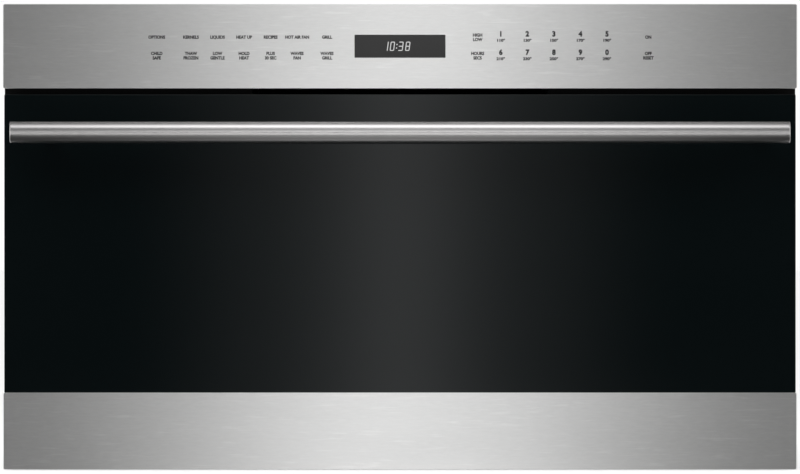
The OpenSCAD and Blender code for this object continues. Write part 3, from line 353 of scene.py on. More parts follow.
def heater_tube():
    """Oxidised sheath: mottled grey and brown, with a dry surface."""
    finish = Finish("heater_tube_finish", Metallic=0.7)
    mottle = finish.noise(70, detail=4.0, rough=0.6)
    scale = finish.noise(500, detail=3.0)
    dark, middle, brown = (0.075, 0.068, 0.064, 1), (0.15, 0.13, 0.115, 1), (0.22, 0.18, 0.14, 1)
    finish.feed("Base Color", finish.run(mottle, [(0.3, dark), (0.52, middle), (0.75, brown)]))
    finish.feed("Roughness", 0.42 + 0.25 * scale)
    finish.bump(scale, 0.03 * MM, 0.6)
    return finish.owner


def wound_copper():
    """Enamelled wire, wound flat: one line to each turn."""
    turns_a_metre = 1100
    finish = Finish("wound_copper_finish", Metallic=0.9, Coat_Weight=0.6, Coat_Roughness=0.15)
    stain = finish.noise(80, detail=3.0)
    finish.feed("Base Color", finish.mix(stain, (0.34, 0.13, 0.055, 1), (0.50, 0.22, 0.10, 1)))
    finish.feed("Roughness", 0.3 + 0.1 * stain)
    finish.bump((finish.axis("Z") * turns_a_metre * math.tau).sine(), 0.15 * MM)
    return finish.owner


def laminated_core():
    """Stacked steel sheets: a seam every half millimetre, and rust-brown stain along some."""
    sheets_a_metre = 2000
    finish = Finish("laminated_core_finish", Metallic=0.75)
    seam = abs((finish.axis("X") * sheets_a_metre).fraction() - 0.5).above(0.38)
    stain = finish.noise((500, 30, 30), detail=3.0)
    body = finish.mix(stain, (0.13, 0.135, 0.14, 1), (0.24, 0.22, 0.20, 1))
    finish.feed("Base Color", finish.mix(0.6 * seam, body, grey(0.03)))
    finish.feed("Roughness", 0.45 + 0.2 * stain)
    finish.bump(1 - seam, 0.05 * MM)
    return finish.owner


def mineral_wool():
    """Needled wool: long pale fibres in every direction, over hollows with painted shade."""
    finish = Finish("mineral_wool_finish", Roughness=0.95)
    along = finish.noise((60, 500, 240), detail=5.0, rough=0.7, turn=(0.4, 0.2, 0.5))
    across = finish.noise((420, 70, 300), detail=5.0, rough=0.7, turn=(0.1, 0.7, -0.4))
    pile = 0.5 * along + 0.5 * across
    # The dark end of the run is painted shade: it falls where the pile, and so the bump, is low
    shaded_hollow, middle, pale = (0.36, 0.31, 0.20, 1), (0.60, 0.55, 0.40, 1), (0.76, 0.72, 0.60, 1)
    finish.feed("Base Color", finish.run(pile, [(0.35, shaded_hollow), (0.5, middle), (0.65, pale)]))
    finish.bump(pile, 0.8 * MM)
    return finish.owner


def mica_sheet():
    """Pressed mica: overlapping flakes, a little glossy."""
    finish = Finish("mica_sheet_finish", IOR=1.56)
    flakes = finish.cells(finish.stretched(260), output="Color")
    tone = finish.node("SeparateColor", None, {0: flakes}, output="Green")
    finish.feed("Base Color", finish.mix(tone, (0.40, 0.37, 0.28, 1), (0.58, 0.55, 0.45, 1)))
    finish.feed("Roughness", 0.3 + 0.2 * tone)
    finish.bump(tone, 0.03 * MM)
    return finish.owner


def braided_seal():
    """Braided glass-fibre gasket over rubber: two sets of strands that cross."""
    strands_a_metre = 260
    finish = Finish("braided_seal_finish", Roughness=0.8)
    run = ((finish.axis("X") + finish.axis("Z")) * strands_a_metre).fraction()
    back = ((finish.axis("X") - finish.axis("Z")) * strands_a_metre).fraction()
    strands = abs(run - 0.5) * abs(back - 0.5) * 4
    rubber, fibre = (0.020, 0.020, 0.021, 1), (0.075, 0.075, 0.078, 1)
    finish.feed("Base Color", finish.mix(strands, rubber, fibre))
    finish.bump(strands, 0.4 * MM)
    return finish.owner


def perforated_screen():
    """Black enamelled sheet with close round holes, in a diamond pattern."""
    pitch = 2.2 * MM
    hole = 0.34  # its radius, of the pitch
    finish = Finish("perforated_screen_finish")
    diamond = finish.stretched(1 / pitch, turn=(0, math.radians(45), 0))
    u = finish.part(diamond, "X").fraction() - 0.5
    v = finish.part(diamond, "Z").fraction() - 0.5
    sheet = 1 - (u * u + v * v).root().below(hole)
    finish.feed("Base Color", finish.mix(sheet, grey(0.002), (0.030, 0.031, 0.032, 1)))
    finish.feed("Roughness", 0.75 - 0.4 * sheet)
    finish.bump(sheet, 0.3 * MM)
    return finish.owner


def ink(name, colour, glow=None):
    """Printed marks, or lit ones: slightly uneven, as screen print is."""
    finish = Finish(name, Roughness=0.6, Specular_IOR_Level=0.15)
    uneven = finish.noise(900)
    finish.feed("Base Color", finish.blend(uneven, colour, 0.1))
    if glow:
        finish.feed("Emission Strength", 1.0)
        finish.feed("Emission Color", finish.blend(uneven, glow, 0.05))
    return finish.owner


def brushed_sheet(name, colour):
    """Brushed steel as on the flat sheets of the front."""
    return brushed_steel(name, colour, roughness=0.36, spread=0.95, contrast=0.12,
                         grain=SHEET_GRAIN)


FINISHES = {
    "stainless_fascia": brushed_sheet("strip_steel_finish", (0.815, 0.815, 0.81)),
    "stainless_handle": brushed_steel("handle_steel_finish", (0.645, 0.633, 0.632),
                                      roughness=0.32, spread=0.0, contrast=0.02,
                                      grain=BAR_GRAIN, wear=0.06, edge=0.2),
    "stainless_cavity": satin_steel("cavity_steel_finish", (0.62, 0.62, 0.61), roughness=0.34),
    "galvanised_steel": galvanised_steel("galvanised_steel_finish", (0.56, 0.58, 0.59)),
    "black_enamel": painted("black_enamel_finish", (0.020, 0.020, 0.021), roughness=0.20,
                            coat=0.5, fleck=(0.05, 0.05, 0.055)),
    "black_glass": black_glass(),
    "clear_glass": clear_glass("clear_glass_finish", (0.93, 0.97, 0.955)),
    "display_lens": display_lens(),
    "circuit_board": circuit_board(),
    "dark_plastic": moulded("dark_plastic_finish", (0.030, 0.030, 0.032), roughness=0.5),
    "white_plastic": moulded("white_plastic_finish", (0.72, 0.70, 0.64), roughness=0.42,
                             grain=0.015),
    "red_plastic": moulded("red_plastic_finish", (0.42, 0.035, 0.025), roughness=0.35,
                           grain=0.01),
    "heater_tube": heater_tube(),
    "copper": wound_copper(),
    "core_steel": laminated_core(),
    "motor_steel": plated_steel("motor_steel_finish", (0.34, 0.35, 0.36), roughness=0.4),
    "aluminium": satin_steel("aluminium_finish", (0.70, 0.71, 0.72), roughness=0.36),
    "mineral_wool": mineral_wool(),
    "mica": mica_sheet(),
    "seal_rubber": braided_seal(),
    "plated_steel": plated_steel("plated_steel_finish", (0.62, 0.63, 0.63), roughness=0.28),
}
OWN_FINISHES = {
    "window_screen": perforated_screen(),
    # The front frame's near-black colour is painted shade: darker than black paint, for the shade
    # in the narrow gap under the fascia
    "front_frame": painted("matt_black_painted_shade_finish", (0.003, 0.003, 0.003), roughness=0.6, shine=0.12),
    # The fascia's steel is the strip's steel made darker: painted shade for the dimmer light on the
    # fascia
    "fascia_panel": brushed_sheet("fascia_steel_painted_shade_finish", (0.745, 0.745, 0.74)),
}
PRINT = ink("key_print_finish", (0.012, 0.012, 0.013))
LIT = ink("display_digits_finish", (0.02, 0.02, 0.02), glow=(0.62, 0.62, 0.62))

SAME_POINT = 0.002 * MM
PLAIN_EDGE = 0.25 * MM
LIP_EDGE = 0.3 * MM  # wider ones are rounded in three steps
EDGE_RADIUS = {
    "fascia_panel": 0.7 * MM,
    "door_strip": 0.7 * MM,
    "door_glass": 0.8 * MM,
    "handle_tube": 0.9 * MM,
    "front_frame": 0.4 * MM,
    "glass_tray": 1.2 * MM,
}


def dress_frame():
    """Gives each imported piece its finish, and rounds its edges as a press or a mould does."""
    slots = {row["node"]: row["material_slot"] for row in frame["record"]["subparts"]}
    for name, thing in NODES.items():
        thing.data.materials.clear()
        thing.data.materials.append(OWN_FINISHES.get(name) or FINISHES[slots[name]])
        round_edges(thing, EDGE_RADIUS.get(name, PLAIN_EDGE))


def round_edges(thing, radius):
    """Joins flat faces whole, rounds the edges between them and keeps the flats flat."""
    weld = thing.modifiers.new("weld", "WELD")
    weld.merge_threshold = SAME_POINT
    whole = thing.modifiers.new("whole_faces", "DECIMATE")
    whole.decimate_type = "DISSOLVE"
    whole.angle_limit = math.radians(0.4)
    bevel = thing.modifiers.new("rounded_edges", "BEVEL")
    bevel.width = radius
    bevel.segments = 3 if radius > LIP_EDGE else 1
    bevel.limit_method = "ANGLE"
    bevel.angle_limit = math.radians(40)
    bevel.use_clamp_overlap = True
    even = thing.modifiers.new("even_normals", "WEIGHTED_NORMAL")
    even.weight = 100


def put_in_scene(name, data):
    made = bpy.data.objects.new(name, data)
    bpy.context.scene.collection.objects.link(made)
    return made


def piece(name, shape, body, slot, finish=None):
    """Makes a piece of the oven from a built shape, and lets it ride on a body.

    It has the finish of its slot unless another one is given.
    """
    mesh = bpy.data.meshes.new(name)
    shape.to_mesh(mesh)
    shape.free()
    mesh.materials.append(finish or FINISHES[slot])
    made = put_in_scene(name, mesh)
    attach(made, body)
    return made


def solids(node):
    """The lowest and highest corners of a node's separate solids."""
    shape = bmesh.new()
    shape.from_mesh(NODES[node].data)
    bmesh.ops.remove_doubles(shape, verts=shape.verts, dist=SAME_POINT)
    left = set(shape.verts)
    found = []
    while left:
        group = [left.pop()]
        for vert in group:
            near = {edge.other_vert(vert) for edge in vert.link_edges} & left
            left -= near
            group.extend(near)
        low = Vector([min(vert.co[i] for vert in group) for i in range(3)])
        high = Vector([max(vert.co[i] for vert in group) for i in range(3)])
        found.append((low, high))
    shape.free()
    return sorted(found, key=lambda box: tuple(round(c, 5) for c in box[0]))


def circle(count):
    """Evenly spaced directions round a circle, each as its cosine and sine."""
    angles = [math.tau * i / count for i in range(count)]
    return [(math.cos(angle), math.sin(angle)) for angle in angles]


def facing(point, normal):
    """A place whose Z axis points along a normal."""
    turn = Vector(normal).to_track_quat("Z", "Y")
    return Matrix.Translation(point) @ turn.to_matrix().to_4x4()


def skin(shape, rings):
    """Adds a closed solid over rings of corners, each with as many."""
    count = len(rings[0])
    for low, high in zip(rings, rings[1:]):
        for i in range(count):
            j = (i + 1) % count
            shape.faces.new((low[i], low[j], high[j], high[i]))
    shape.faces.new(rings[0][::-1])
    shape.faces.new(rings[-1])


def turned(shape, outline, place, sides=32):
    """Adds a solid turned about its place's Z axis, from (radius, height) in millimetres."""
    rings = []
    for radius, height in outline:
        ring = [Vector((radius * cos, radius * sin, height)) * MM for cos, sin in circle(sides)]
        rings.append([shape.verts.new(place @ point) for point in ring])
    skin(shape, rings)


def plate(shape, outline, place, thickness):
    """Adds a plate that stands out along its place's Z axis, in millimetres.

    Its outline is across and up, and goes round to the left.
    """
    rings = []
    for height in (0, thickness):
        ring = [Vector((across, up, height)) * MM for across, up in outline]
        rings.append([shape.verts.new(place @ point) for point in ring])
    skin(shape, rings)


# Printed keys: places in millimetres from the middle of the fascia
KEY_STEP = 25.4
WORD_CAP = 2.95
NUMBER_CAP = 4.9
SMALL_CAP = 2.6
CAP_SHARE = 0.72  # height of a capital in a font of size 1
PRINT_T = 0.03 * MM
LEFT_KEYS = (-232.7, *(-200.0 + KEY_STEP * i for i in range(5)), -69.8)
NUMBER_KEYS = tuple(96.4 + KEY_STEP * i for i in range(5))
RIGHT_KEYS = (74.2, 237.5)
LEFT_UPPER = ("OPTIONS", "KERNELS", "LIQUIDS", "HEAT UP", "RECIPES", "HOT AIR FAN", "GRILL")
LEFT_LOWER = ("CHILD SAFE", "THAW FROZEN", "LOW GENTLE", "HOLD HEAT", "PLUS 30 SEC",
              "WAVES FAN", "WAVES GRILL")
UPPER_LINE = 8.8
UPPER_PAIR = (10.8, 6.5)
LOWER_PAIR = (-6.8, -11.1)
UPPER_NUMBERS = (12.0, 5.7)
LOWER_NUMBERS = (-5.6, -11.9)
UPPER_DEGREES = 110
LOWER_DEGREES = 210
DEGREE_STEP = 20


def two_lines(words, x, rows):
    first, rest = words.split(" ", 1)
    return [(first, x, rows[0], WORD_CAP), (rest, x, rows[1], WORD_CAP)]


def key_marks():
    """Words, numbers and small numbers of the keys, each as (text, across, up, cap height)."""
    words = [(text, x, UPPER_LINE, WORD_CAP) for text, x in zip(LEFT_UPPER, LEFT_KEYS)]
    for text, x in zip(LEFT_LOWER, LEFT_KEYS):
        words += two_lines(text, x, LOWER_PAIR)
    first, last = RIGHT_KEYS
    words += two_lines("HIGH LOW", first, UPPER_PAIR)
    words += two_lines("HOURS SECS", first, LOWER_PAIR)
    words += [("ON", last, UPPER_LINE, WORD_CAP)]
    words += two_lines("OFF RESET", last, LOWER_PAIR)
    numbers, small = [], []
    for i, x in enumerate(NUMBER_KEYS):
        upper = (UPPER_NUMBERS, i + 1, UPPER_DEGREES)
        lower = (LOWER_NUMBERS, (i + 6) % 10, LOWER_DEGREES)
        for rows, number, degrees in (upper, lower):
            numbers += [(str(number), x, rows[0], NUMBER_CAP)]
            small += [(f"{degrees + DEGREE_STEP * i}°", x, rows[1], SMALL_CAP)]
    return words, numbers, small


def lettering(name, marks, weight, width):
    """Printed marks on the fascia, as raised ink a few hundredths of a millimetre thick.

    The weight is how far a stroke grows on each side, of the cap height, and the width is of
    the font's own.
    """
    shape = bmesh.new()
    upright = Matrix.Rotation(math.radians(90), 4, "X") @ Matrix.Diagonal((width, 1, 1, 1))
    for text, x, z, cap in marks:
        curve = bpy.data.curves.new("mark", "FONT")
        curve.body = text
        curve.align_x = "CENTER"
        curve.size = cap / CAP_SHARE * MM
        curve.offset = weight * cap * MM
        curve.extrude = PRINT_T / 2
        curve.resolution_u = 3
        written = bpy.data.objects.new("mark", curve)
        mesh = bpy.data.meshes.new_from_object(written)
        base = Vector((x * MM, FASCIA_LOW.y - PRINT_T / 2, FASCIA_MID + (z - cap / 2) * MM))
        mesh.transform(Matrix.Translation(base) @ upright)
        shape.from_mesh(mesh)
        bpy.data.objects.remove(written)
        bpy.data.curves.remove(curve)
        bpy.data.meshes.remove(mesh)
    piece(name, shape, "chassis", "dark_plastic", PRINT)


# Display: digits are paths over a width and a height of 1, and their places are in millimetres
DIGIT_W = 3.4 * MM
DIGIT_H = 8.0 * MM
STROKE = 0.85 * MM
SLANT = 0.13  # lean of the digits
DIGIT_CUT = 0.22  # how much of the width a corner rounds off
DOT_SIDES = 12
RING = ((0, 0.5), (0, 1), (1, 1), (1, 0), (0, 0), (0, 0.5))
MIDDLE_BAR = ((0, 0.5), (1, 0.5))
DIGITS = {
    "0": (RING,),
    "1": (((1, 0), (1, 1)),),
    "3": (((0, 1), (1, 1), (1, 0), (0, 0)), MIDDLE_BAR),
    "8": (RING, MIDDLE_BAR),
}
TIME = (("1", -15.6), ("0", -9.5), ("3", -1.3), ("8", 5.2))
COLON_X = -3.6
COLON_UP = (0.29, 0.71)
COLON_RADIUS = 0.75 * STROKE


def rounded(path):
    """A digit's path in metres, with its inner corners cut in two steps."""
    points = [Vector((x * DIGIT_W, z * DIGIT_H)) for x, z in path]
    smooth = points[:1]
    for before, corner, after in zip(points, points[1:], points[2:]):
        start = corner + (before - corner).normalized() * DIGIT_CUT * DIGIT_W
        end = corner + (after - corner).normalized() * DIGIT_CUT * DIGIT_W
        smooth += [start, (start + end) / 4 + corner / 2, end]
    return smooth + points[-1:]


def display_digits():
    """A plain time in leaning digits of even strokes, lit on the face of the lens."""
    shape = bmesh.new()
    y = LENS_LOW.y - PRINT_T

    def put(outline):
        leaning = [(x + z * SLANT, y, z + FASCIA_MID - DIGIT_H / 2) for x, z in outline]
        shape.faces.new([shape.verts.new(point) for point in leaning])

    def dot(middle, radius):
        put([middle + Vector(direction) * radius for direction in circle(DOT_SIDES)])

    for digit, left in TIME:
        for path in DIGITS[digit]:
            points = [point + Vector((left * MM, 0)) for point in rounded(path)]
            for point in points:
                dot(point, STROKE / 2)
            for start, end in zip(points, points[1:]):
                along = (end - start).normalized()
                side = Vector((-along.y, along.x)) * STROKE / 2
                put([start + side, end + side, end - side, start - side])
    for up in COLON_UP:
        dot(Vector((COLON_X * MM, up * DIGIT_H)), COLON_RADIUS)
    bmesh.ops.recalc_face_normals(shape, faces=shape.faces)
    bmesh.ops.solidify(shape, geom=shape.faces, thickness=PRINT_T / 2)
    piece("display_digits", shape, "chassis", "display_lens", LIT)


# Turned fittings, as (radius, height) in millimetres
WASHER = ((1, 0), (1, 0.5), (0.93, 0.9), (0.8, 1.0))  # its radii are shares of the full one
HEXAGON = ((3.15, 0.9), (3.15, 3.2), (2.709, 3.6))
RIVET = ((1.8, 0), (1.6, 0.5), (0.9, 0.9))
WELD = ((3.1, 0), (2.9, 0.16), (2.1, 0.18), (1.5, 0.04), (0.6, 0.02))
COVER_SCREW = ((3.6, 0), (3.6, 0.8), (2.9, 1.9), (1.6, 2.4))
LINER_SCREW = ((3.4, 0), (3.2, 0.5), (2.2, 1.1), (1.2, 1.25))
BUMPER = ((5, 0), (5, 1.4), (4.2, 2.3), (2.5, 2.5))
WASHER_SHARE = 0.68  # a washer's radius, of half the diagonal of its screw's box


def case_screw_heads():
    """Hexagon washer heads in the places of the case screws."""
    shape = bmesh.new()
    for low, high in solids("case_screws"):
        size = high - low
        seat = (low + high) / 2
        axis = min(range(3), key=lambda i: size[i])
        sign = 1 if seat[axis] > 0 else -1
        seat[axis] -= sign * size[axis] / 2
        normal = Vector((0, 0, 0))
        normal[axis] = sign
        place = facing(seat, normal)
        radius = size.length / 2 * WASHER_SHARE / MM
        turned(shape, [(radius * share, height) for share, height in WASHER], place)
        turned(shape, HEXAGON, place, sides=6)
    made = piece("case_screw_heads", shape, "chassis", "plated_steel")
    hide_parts("case_screws")


# Closing springs
WIRE = 0.9 * MM  # radius of the wire
WIRE_SIDES = 8
COIL_STEP = 2.3 * WIRE  # from one turn to the next
STEPS_A_TURN = 20


def hinge_coils():
    """The closing springs on the hinge pins, as wound wire."""
    shape = bmesh.new()
    for low, high in solids("hinge_springs"):
        middle = (low + high) / 2
        radius = (high.z - low.z) / 2 - WIRE
        length = high.x - low.x - 2 * WIRE
        turns = length / COIL_STEP
        steps = int(turns * STEPS_A_TURN)
        rings = []
        for i in range(steps + 1):
            angle = math.tau * turns * i / steps
            out = Vector((0, math.cos(angle), math.sin(angle)))
            centre = Vector((low.x + WIRE + length * i / steps, middle.y, middle.z)) + out * radius
            spots = [out * cos + Vector((sin, 0, 0)) for cos, sin in circle(WIRE_SIDES)]
            rings.append([shape.verts.new(centre + spot * WIRE) for spot in spots])
        skin(shape, rings)
    bmesh.ops.recalc_face_normals(shape, faces=shape.faces)
    made = piece("hinge_coils", shape, "chassis", "plated_steel")
    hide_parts("hinge_springs")


# Back and shell of the case, in millimetres
PLATE_W, PLATE_H, PLATE_T = 96, 54, 0.5
PLATE_X = 150
PLATE_UP = 80  # from the rear panel's foot to the plate's middle
RIVET_INSET = 5
SHEET = 1.0
CASE_SIDE = REAR_HIGH.x / MM + SHEET
CASE_TOP = REAR_HIGH.z / MM + SHEET
LIP, LIP_T = 26, 0.9  # width and thickness of the case's folded lips
LIP_FOOT = PAN_LOW.z / MM + 5
MITRE_GAP = 0.8
WELD_STEP = 62
WELD_BACK = 27  # from the pan's front edge
TOP_WELDS = range(-5, 6)
SIDE_WELDS = [60 + WELD_STEP * i for i in range(6)]
COVER_Z = 92
COVER_STEPS = ((40, 56, 5, 0.8), (33, 49, 4, 1.7))  # half width and height, corner, height out
COVER_SCREWS = ((-28, 44), (28, 44), (-28, -46), (28, -46))
CORNER_SIGNS = ((1, 1), (-1, 1), (-1, -1), (1, -1))
CORNER_STEPS = 4


def on_back(x, z):
    """A place on the back of the case that faces backward, from millimetres across and up."""
    return facing(Vector((x * MM, REAR_HIGH.y, z * MM)), BACKWARD)


def on_place(place, across, up, out):
    """A place shifted along its own axes by millimetres."""
    return place @ Matrix.Translation(Vector((across, up, out)) * MM)


def rating_plate():
    """A bare riveted plate on the back of the case."""
    shape = bmesh.new()
    place = on_back(PLATE_X, REAR_LOW.z / MM + PLATE_UP)
    half_w, half_h = PLATE_W / 2, PLATE_H / 2
    plate(shape, [(a * half_w, b * half_h) for a, b in CORNER_SIGNS], place, PLATE_T)
    for a, b in CORNER_SIGNS:
        across, up = a * (half_w - RIVET_INSET), b * (half_h - RIVET_INSET)
        turned(shape, RIVET, on_place(place, across, up, PLATE_T), sides=20)
    piece("rating_plate", shape, "chassis", "aluminium")


def case_lips():
    """The lips of the case, folded over its back, with open mitres at the corners."""
    shape = bmesh.new()
    place = on_back(0, 0)
    end, top, foot = CASE_SIDE - MITRE_GAP, CASE_TOP - MITRE_GAP, LIP_FOOT
    outer, inner = CASE_SIDE, CASE_SIDE - LIP
    over = [(-end, CASE_TOP), (LIP - end, CASE_TOP - LIP), (end - LIP, CASE_TOP - LIP)]
    plate(shape, [*over, (end, CASE_TOP)], place, LIP_T)
    right = [(outer, top), (inner, top - LIP), (inner, foot), (outer, foot)]
    plate(shape, right, place, LIP_T)
    plate(shape, [(-across, up) for across, up in right[::-1]], place, LIP_T)
    made = piece("case_lips", shape, "chassis", "galvanised_steel")
    round_edges(made, LIP_EDGE)


def weld_marks():
    """Spot welds that hold the case to its front flange: low rings with a dished middle."""
    shape = bmesh.new()
    y = PAN_LOW.y + WELD_BACK * MM
    spots = [((i * WELD_STEP, CASE_TOP), UP) for i in TOP_WELDS]
    spots += [((sign * CASE_SIDE, z), (sign, 0, 0)) for sign in (-1, 1) for z in SIDE_WELDS]
    for (x, z), normal in spots:
        turned(shape, WELD, facing(Vector((x * MM, y, z * MM)), normal), sides=20)
    piece("weld_marks", shape, "chassis", "galvanised_steel")


def rounded_oblong(half_w, half_h, corner):
    """An oblong's outline, with each corner rounded in equal steps."""
    outline = []
    for quarter, (a, b) in enumerate(CORNER_SIGNS):
        for step in range(CORNER_STEPS + 1):
            angle = math.radians(90 * (quarter + step / CORNER_STEPS))
            across = (half_w - corner) * a + corner * math.cos(angle)
            outline.append((across, (half_h - corner) * b + corner * math.sin(angle)))
    return outline


def supply_cover():
    """A pressed cover over the supply terminals, around the cable gland, with four screws."""
    shape = bmesh.new()
    place = on_back((GLAND_LOW.x + GLAND_HIGH.x) / 2 / MM, COVER_Z)
    for half_w, half_h, corner, height in COVER_STEPS:
        plate(shape, rounded_oblong(half_w, half_h, corner), place, height)
    cover = piece("supply_cover", shape, "chassis", "galvanised_steel")
    round_edges(cover, PLAIN_EDGE)
    screws = bmesh.new()
    face = COVER_STEPS[-1][-1]
    for across, up in COVER_SCREWS:
        turned(screws, COVER_SCREW, on_place(place, across, up, face), sides=24)
    piece("supply_cover_screws", screws, "chassis", "plated_steel")


# Inside of the door
LINER_INSET = 9 * MM  # of the screws, from the panel's sides
LINER_SHARES = (0.06, 0.36, 0.66, 0.94)  # heights of the screws, of the panel's
BUMPER_IN = 22 * MM  # from the screws
BUMPER_DOWN = 10 * MM  # from the panel's top


def door_liner_screws():
    """Low domed screws along the sides of the door's inner panel, and two soft bumpers."""
    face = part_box("door_seal")[0].y - 0.3 * MM
    screws, bumpers = bmesh.new(), bmesh.new()
    reach = PANEL_HIGH.x - LINER_INSET
    for side in (-1, 1):
        for share in LINER_SHARES:
            z = PANEL_LOW.z + share * (PANEL_HIGH.z - PANEL_LOW.z)
            turned(screws, LINER_SCREW, facing(Vector((side * reach, face, z)), BACKWARD))
        spot = Vector((side * (reach - BUMPER_IN), face, PANEL_HIGH.z - BUMPER_DOWN))
        turned(bumpers, BUMPER, facing(spot, BACKWARD))
    piece("door_liner_screws", screws, "door", "plated_steel")
    piece("door_bumpers", bumpers, "door", "dark_plastic")


# Studio, in metres. A level of light is 1 for white.
CAMERA_OUT = 10.0  # from the face of the door glass
CAMERA_Z = 0.2228
PHOTO_WIDTH = 0.7652  # what the photograph's width spans at the door glass
SENSOR = 36.0
PLAIN_LEVEL = 0.58
CARD_SIDE = 1.5
CARD_OUT = 1.6
CARD_BOTTOM = -0.6
CARD_TOP = 2.0
FLOOR_CARD_BACK = 0.3
CEILING_BACK = 2.15
WALL_WIDTHS = (0.27, 0.345, 0.18, 0.17)  # from the wall's foot to its top
WALL_LEVELS = (0.06, 2.14, 3.0, 2.66, 0.84, 1.21, 0.96, 0.11)
SLICE_FOOT = (-0.02, 0.03)  # heights over which the slice for the glass begins
SLICE_TOP = (0.40, 0.44)
WINDOW_LEVEL = 1.55
WINDOW_SIDE = (0.484, 0.640)
WINDOW_FOOT = (-0.3, -0.05)
WINDOW_TOP = (0.34, 0.58)
BAND_LEVEL = 0.71
BAND_WIDTH = 0.094
BAND_END = (0.17, 0.33)
DIM_LEVEL = 0.012
FLOOR_LEVELS = (0.42, 0.32, 0.64, 0.32)  # from the oven out to the wall
FLOOR_WIDTH = 0.22
CEILING_LEVELS = (0.05, 0.05, 0.05, 0.05, 0.05, 0.10, 0.50, 0.60, 1.95, 3.0, 2.7, 2.2, 2.2)
CEILING_WIDTH = 0.47
FLOOR_REACH = 60
FLOOR_DROP = 0.3 * MM
FLOOR_GLOW = 0.42  # lifts the floor to white for the camera
AIM = Vector((0, 0, 0.2))


def studio_camera():
    data = bpy.data.cameras.new("camera")
    data.sensor_width = SENSOR
    data.lens = SENSOR * CAMERA_OUT / PHOTO_WIDTH
    data.clip_end = 200
    camera = put_in_scene("camera", data)
    camera.location = (0, FRONT - CAMERA_OUT, CAMERA_Z)
    camera.rotation_euler = (math.radians(90), 0, 0)
    bpy.context.scene.camera = camera


def studio_world():
    """White for the camera, for reflections and through glass. A plain level for the rest."""
    world = bpy.data.worlds.new("studio")
    bpy.context.scene.world = world
    finish = Finish("studio", owner=world)
    seen = finish.node("LightPath", output="Is Camera Ray")
    mirrored = finish.node("LightPath", output="Is Glossy Ray")
    through = finish.node("LightPath", output="Is Transmission Ray")
    white = (seen + mirrored + through).above(0.5)
    level = finish.mix(white, grey(PLAIN_LEVEL), grey(1))
    finish.link(finish.tree.nodes["Background"].inputs["Color"], level)


def sheet(name, corners, finish):
    """A flat sheet of the studio between four corners."""
    mesh = bpy.data.meshes.new(name)
    mesh.from_pydata(corners, [], [(0, 1, 2, 3)])
    mesh.materials.append(finish.owner)
    return put_in_scene(name, mesh)


def flat(side, near, far, z):
    """Corners of a level sheet, from near to far along Y."""
    return [(-side, near, z), (side, near, z), (side, far, z), (-side, far, z)]


def card(name, corners, radiance):
    """A glowing sheet that only reflections see. Its radiance comes from the place on it."""
    finish = Finish(name + "_finish", Base_Color=grey(0), Specular_IOR_Level=0.0,
                    Emission_Strength=1.0)
    finish.feed("Emission Color", radiance(finish))
    made = sheet(name, corners, finish)
    for kind in ("camera", "diffuse", "shadow", "transmission", "volume_scatter"):
        setattr(made, "visible_" + kind, False)


def profile(finish, value, low, high, levels):
    """A run through levels that are evenly spaced from low to high."""
    peak = max(levels)
    share = (value - low) / (high - low)
    stops = [(i / (len(levels) - 1), grey(level / peak)) for i, level in enumerate(levels)]
    return finish.run(share, stops) * peak


def hill(finish, width):
    """A soft hill across X: one in the middle, about a third at its width."""
    x = finish.axis("X") / width
    return (0 - x * x).exponential()


def narrow_band(finish):
    """What the flat glass mirrors: a narrow soft band in the middle, and a dim level past it."""
    x = abs(finish.axis("X"))
    away = x / BAND_WIDTH
    return BAND_LEVEL * (1 / (1 + away * away)) * (1 - finish.ramp(x, *BAND_END)) + DIM_LEVEL


def wall_radiance(finish):
    """The wall of light ahead of the oven, with a slice for its glass and windows to both sides."""
    x, z = abs(finish.axis("X")), finish.axis("Z")
    width = profile(finish, z, CARD_BOTTOM, CARD_TOP, WALL_WIDTHS)
    wall = profile(finish, z, CARD_BOTTOM, CARD_TOP, WALL_LEVELS) * hill(finish, width)
    slice_of_glass = finish.ramp(z, *SLICE_FOOT) * (1 - finish.ramp(z, *SLICE_TOP))
    windows = WINDOW_LEVEL * finish.ramp(x, *WINDOW_SIDE)
    windows = windows * (1 - finish.ramp(z, *WINDOW_TOP)) * finish.ramp(z, *WINDOW_FOOT)
    return wall * (1 - slice_of_glass) + narrow_band(finish) * slice_of_glass + windows


def floor_radiance(finish):
    out = FRONT - finish.axis("Y")
    return profile(finish, out, 0.0, CARD_OUT, FLOOR_LEVELS) * hill(finish, FLOOR_WIDTH)


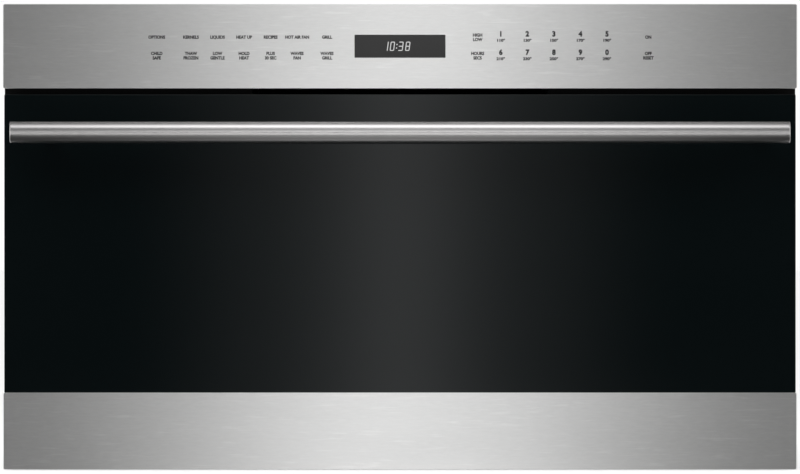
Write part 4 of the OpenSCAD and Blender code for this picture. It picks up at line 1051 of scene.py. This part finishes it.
def ceiling_radiance(finish):
    """A long soft box over the front of the oven, in a dimmer ceiling."""
    out = FRONT - finish.axis("Y")
    levels = profile(finish, out, -CEILING_BACK, CARD_OUT, CEILING_LEVELS)
    return levels * hill(finish, CEILING_WIDTH)


def studio_cards():
    side, wall = CARD_SIDE, FRONT - CARD_OUT
    corners = [(-side, wall, CARD_BOTTOM), (side, wall, CARD_BOTTOM)]
    corners += [(side, wall, CARD_TOP), (-side, wall, CARD_TOP)]
    card("wall_card", corners, wall_radiance)
    card("floor_card", flat(side, wall, FRONT + FLOOR_CARD_BACK, CARD_BOTTOM), floor_radiance)
    card("ceiling_card", flat(side, wall, FRONT + CEILING_BACK, CARD_TOP), ceiling_radiance)


def lamp(name, place, size, power):
    """A round soft lamp that points at the oven and isn't seen in reflections."""
    data = bpy.data.lights.new(name, "AREA")
    data.shape = "DISK"
    data.size = size
    data.energy = power
    made = put_in_scene(name, data)
    made.location = place
    made.rotation_euler = (AIM - Vector(place)).to_track_quat("-Z", "Y").to_euler()
    made.visible_glossy = False


def studio_floor():
    """A pale floor that the camera sees as white but for the oven's shadow."""
    finish = Finish("floor_finish", Base_Color=grey(0.85), Roughness=0.9,
                    Specular_IOR_Level=0.1, Emission_Strength=1.0)
    seen = finish.node("LightPath", output="Is Camera Ray")
    finish.feed("Emission Color", finish.mix(seen, grey(0), grey(FLOOR_GLOW)))
    floor = sheet("floor", flat(FLOOR_REACH, -FLOOR_REACH, FLOOR_REACH, 0), finish)
    floor.location.z = -FLOOR_DROP
    floor.visible_glossy = False


bpy.context.scene.view_settings.view_transform = "Standard"
studio_camera()
dress_frame()
words, numbers, small = key_marks()
lettering("key_words", words, weight=0.070, width=0.92)
lettering("key_numbers", numbers, weight=0.074, width=0.95)
lettering("key_small_numbers", small, weight=0.075, width=1.2)
display_digits()
case_screw_heads()
hinge_coils()
rating_plate()
case_lips()
weld_marks()
supply_cover()
door_liner_screws()
studio_world()
studio_cards()
lamp("key_lamp", (-1.4, -3.0, 3.0), size=2.2, power=60)
lamp("fill_lamp", (2.4, -2.2, 1.6), size=2.0, power=25)
studio_floor()
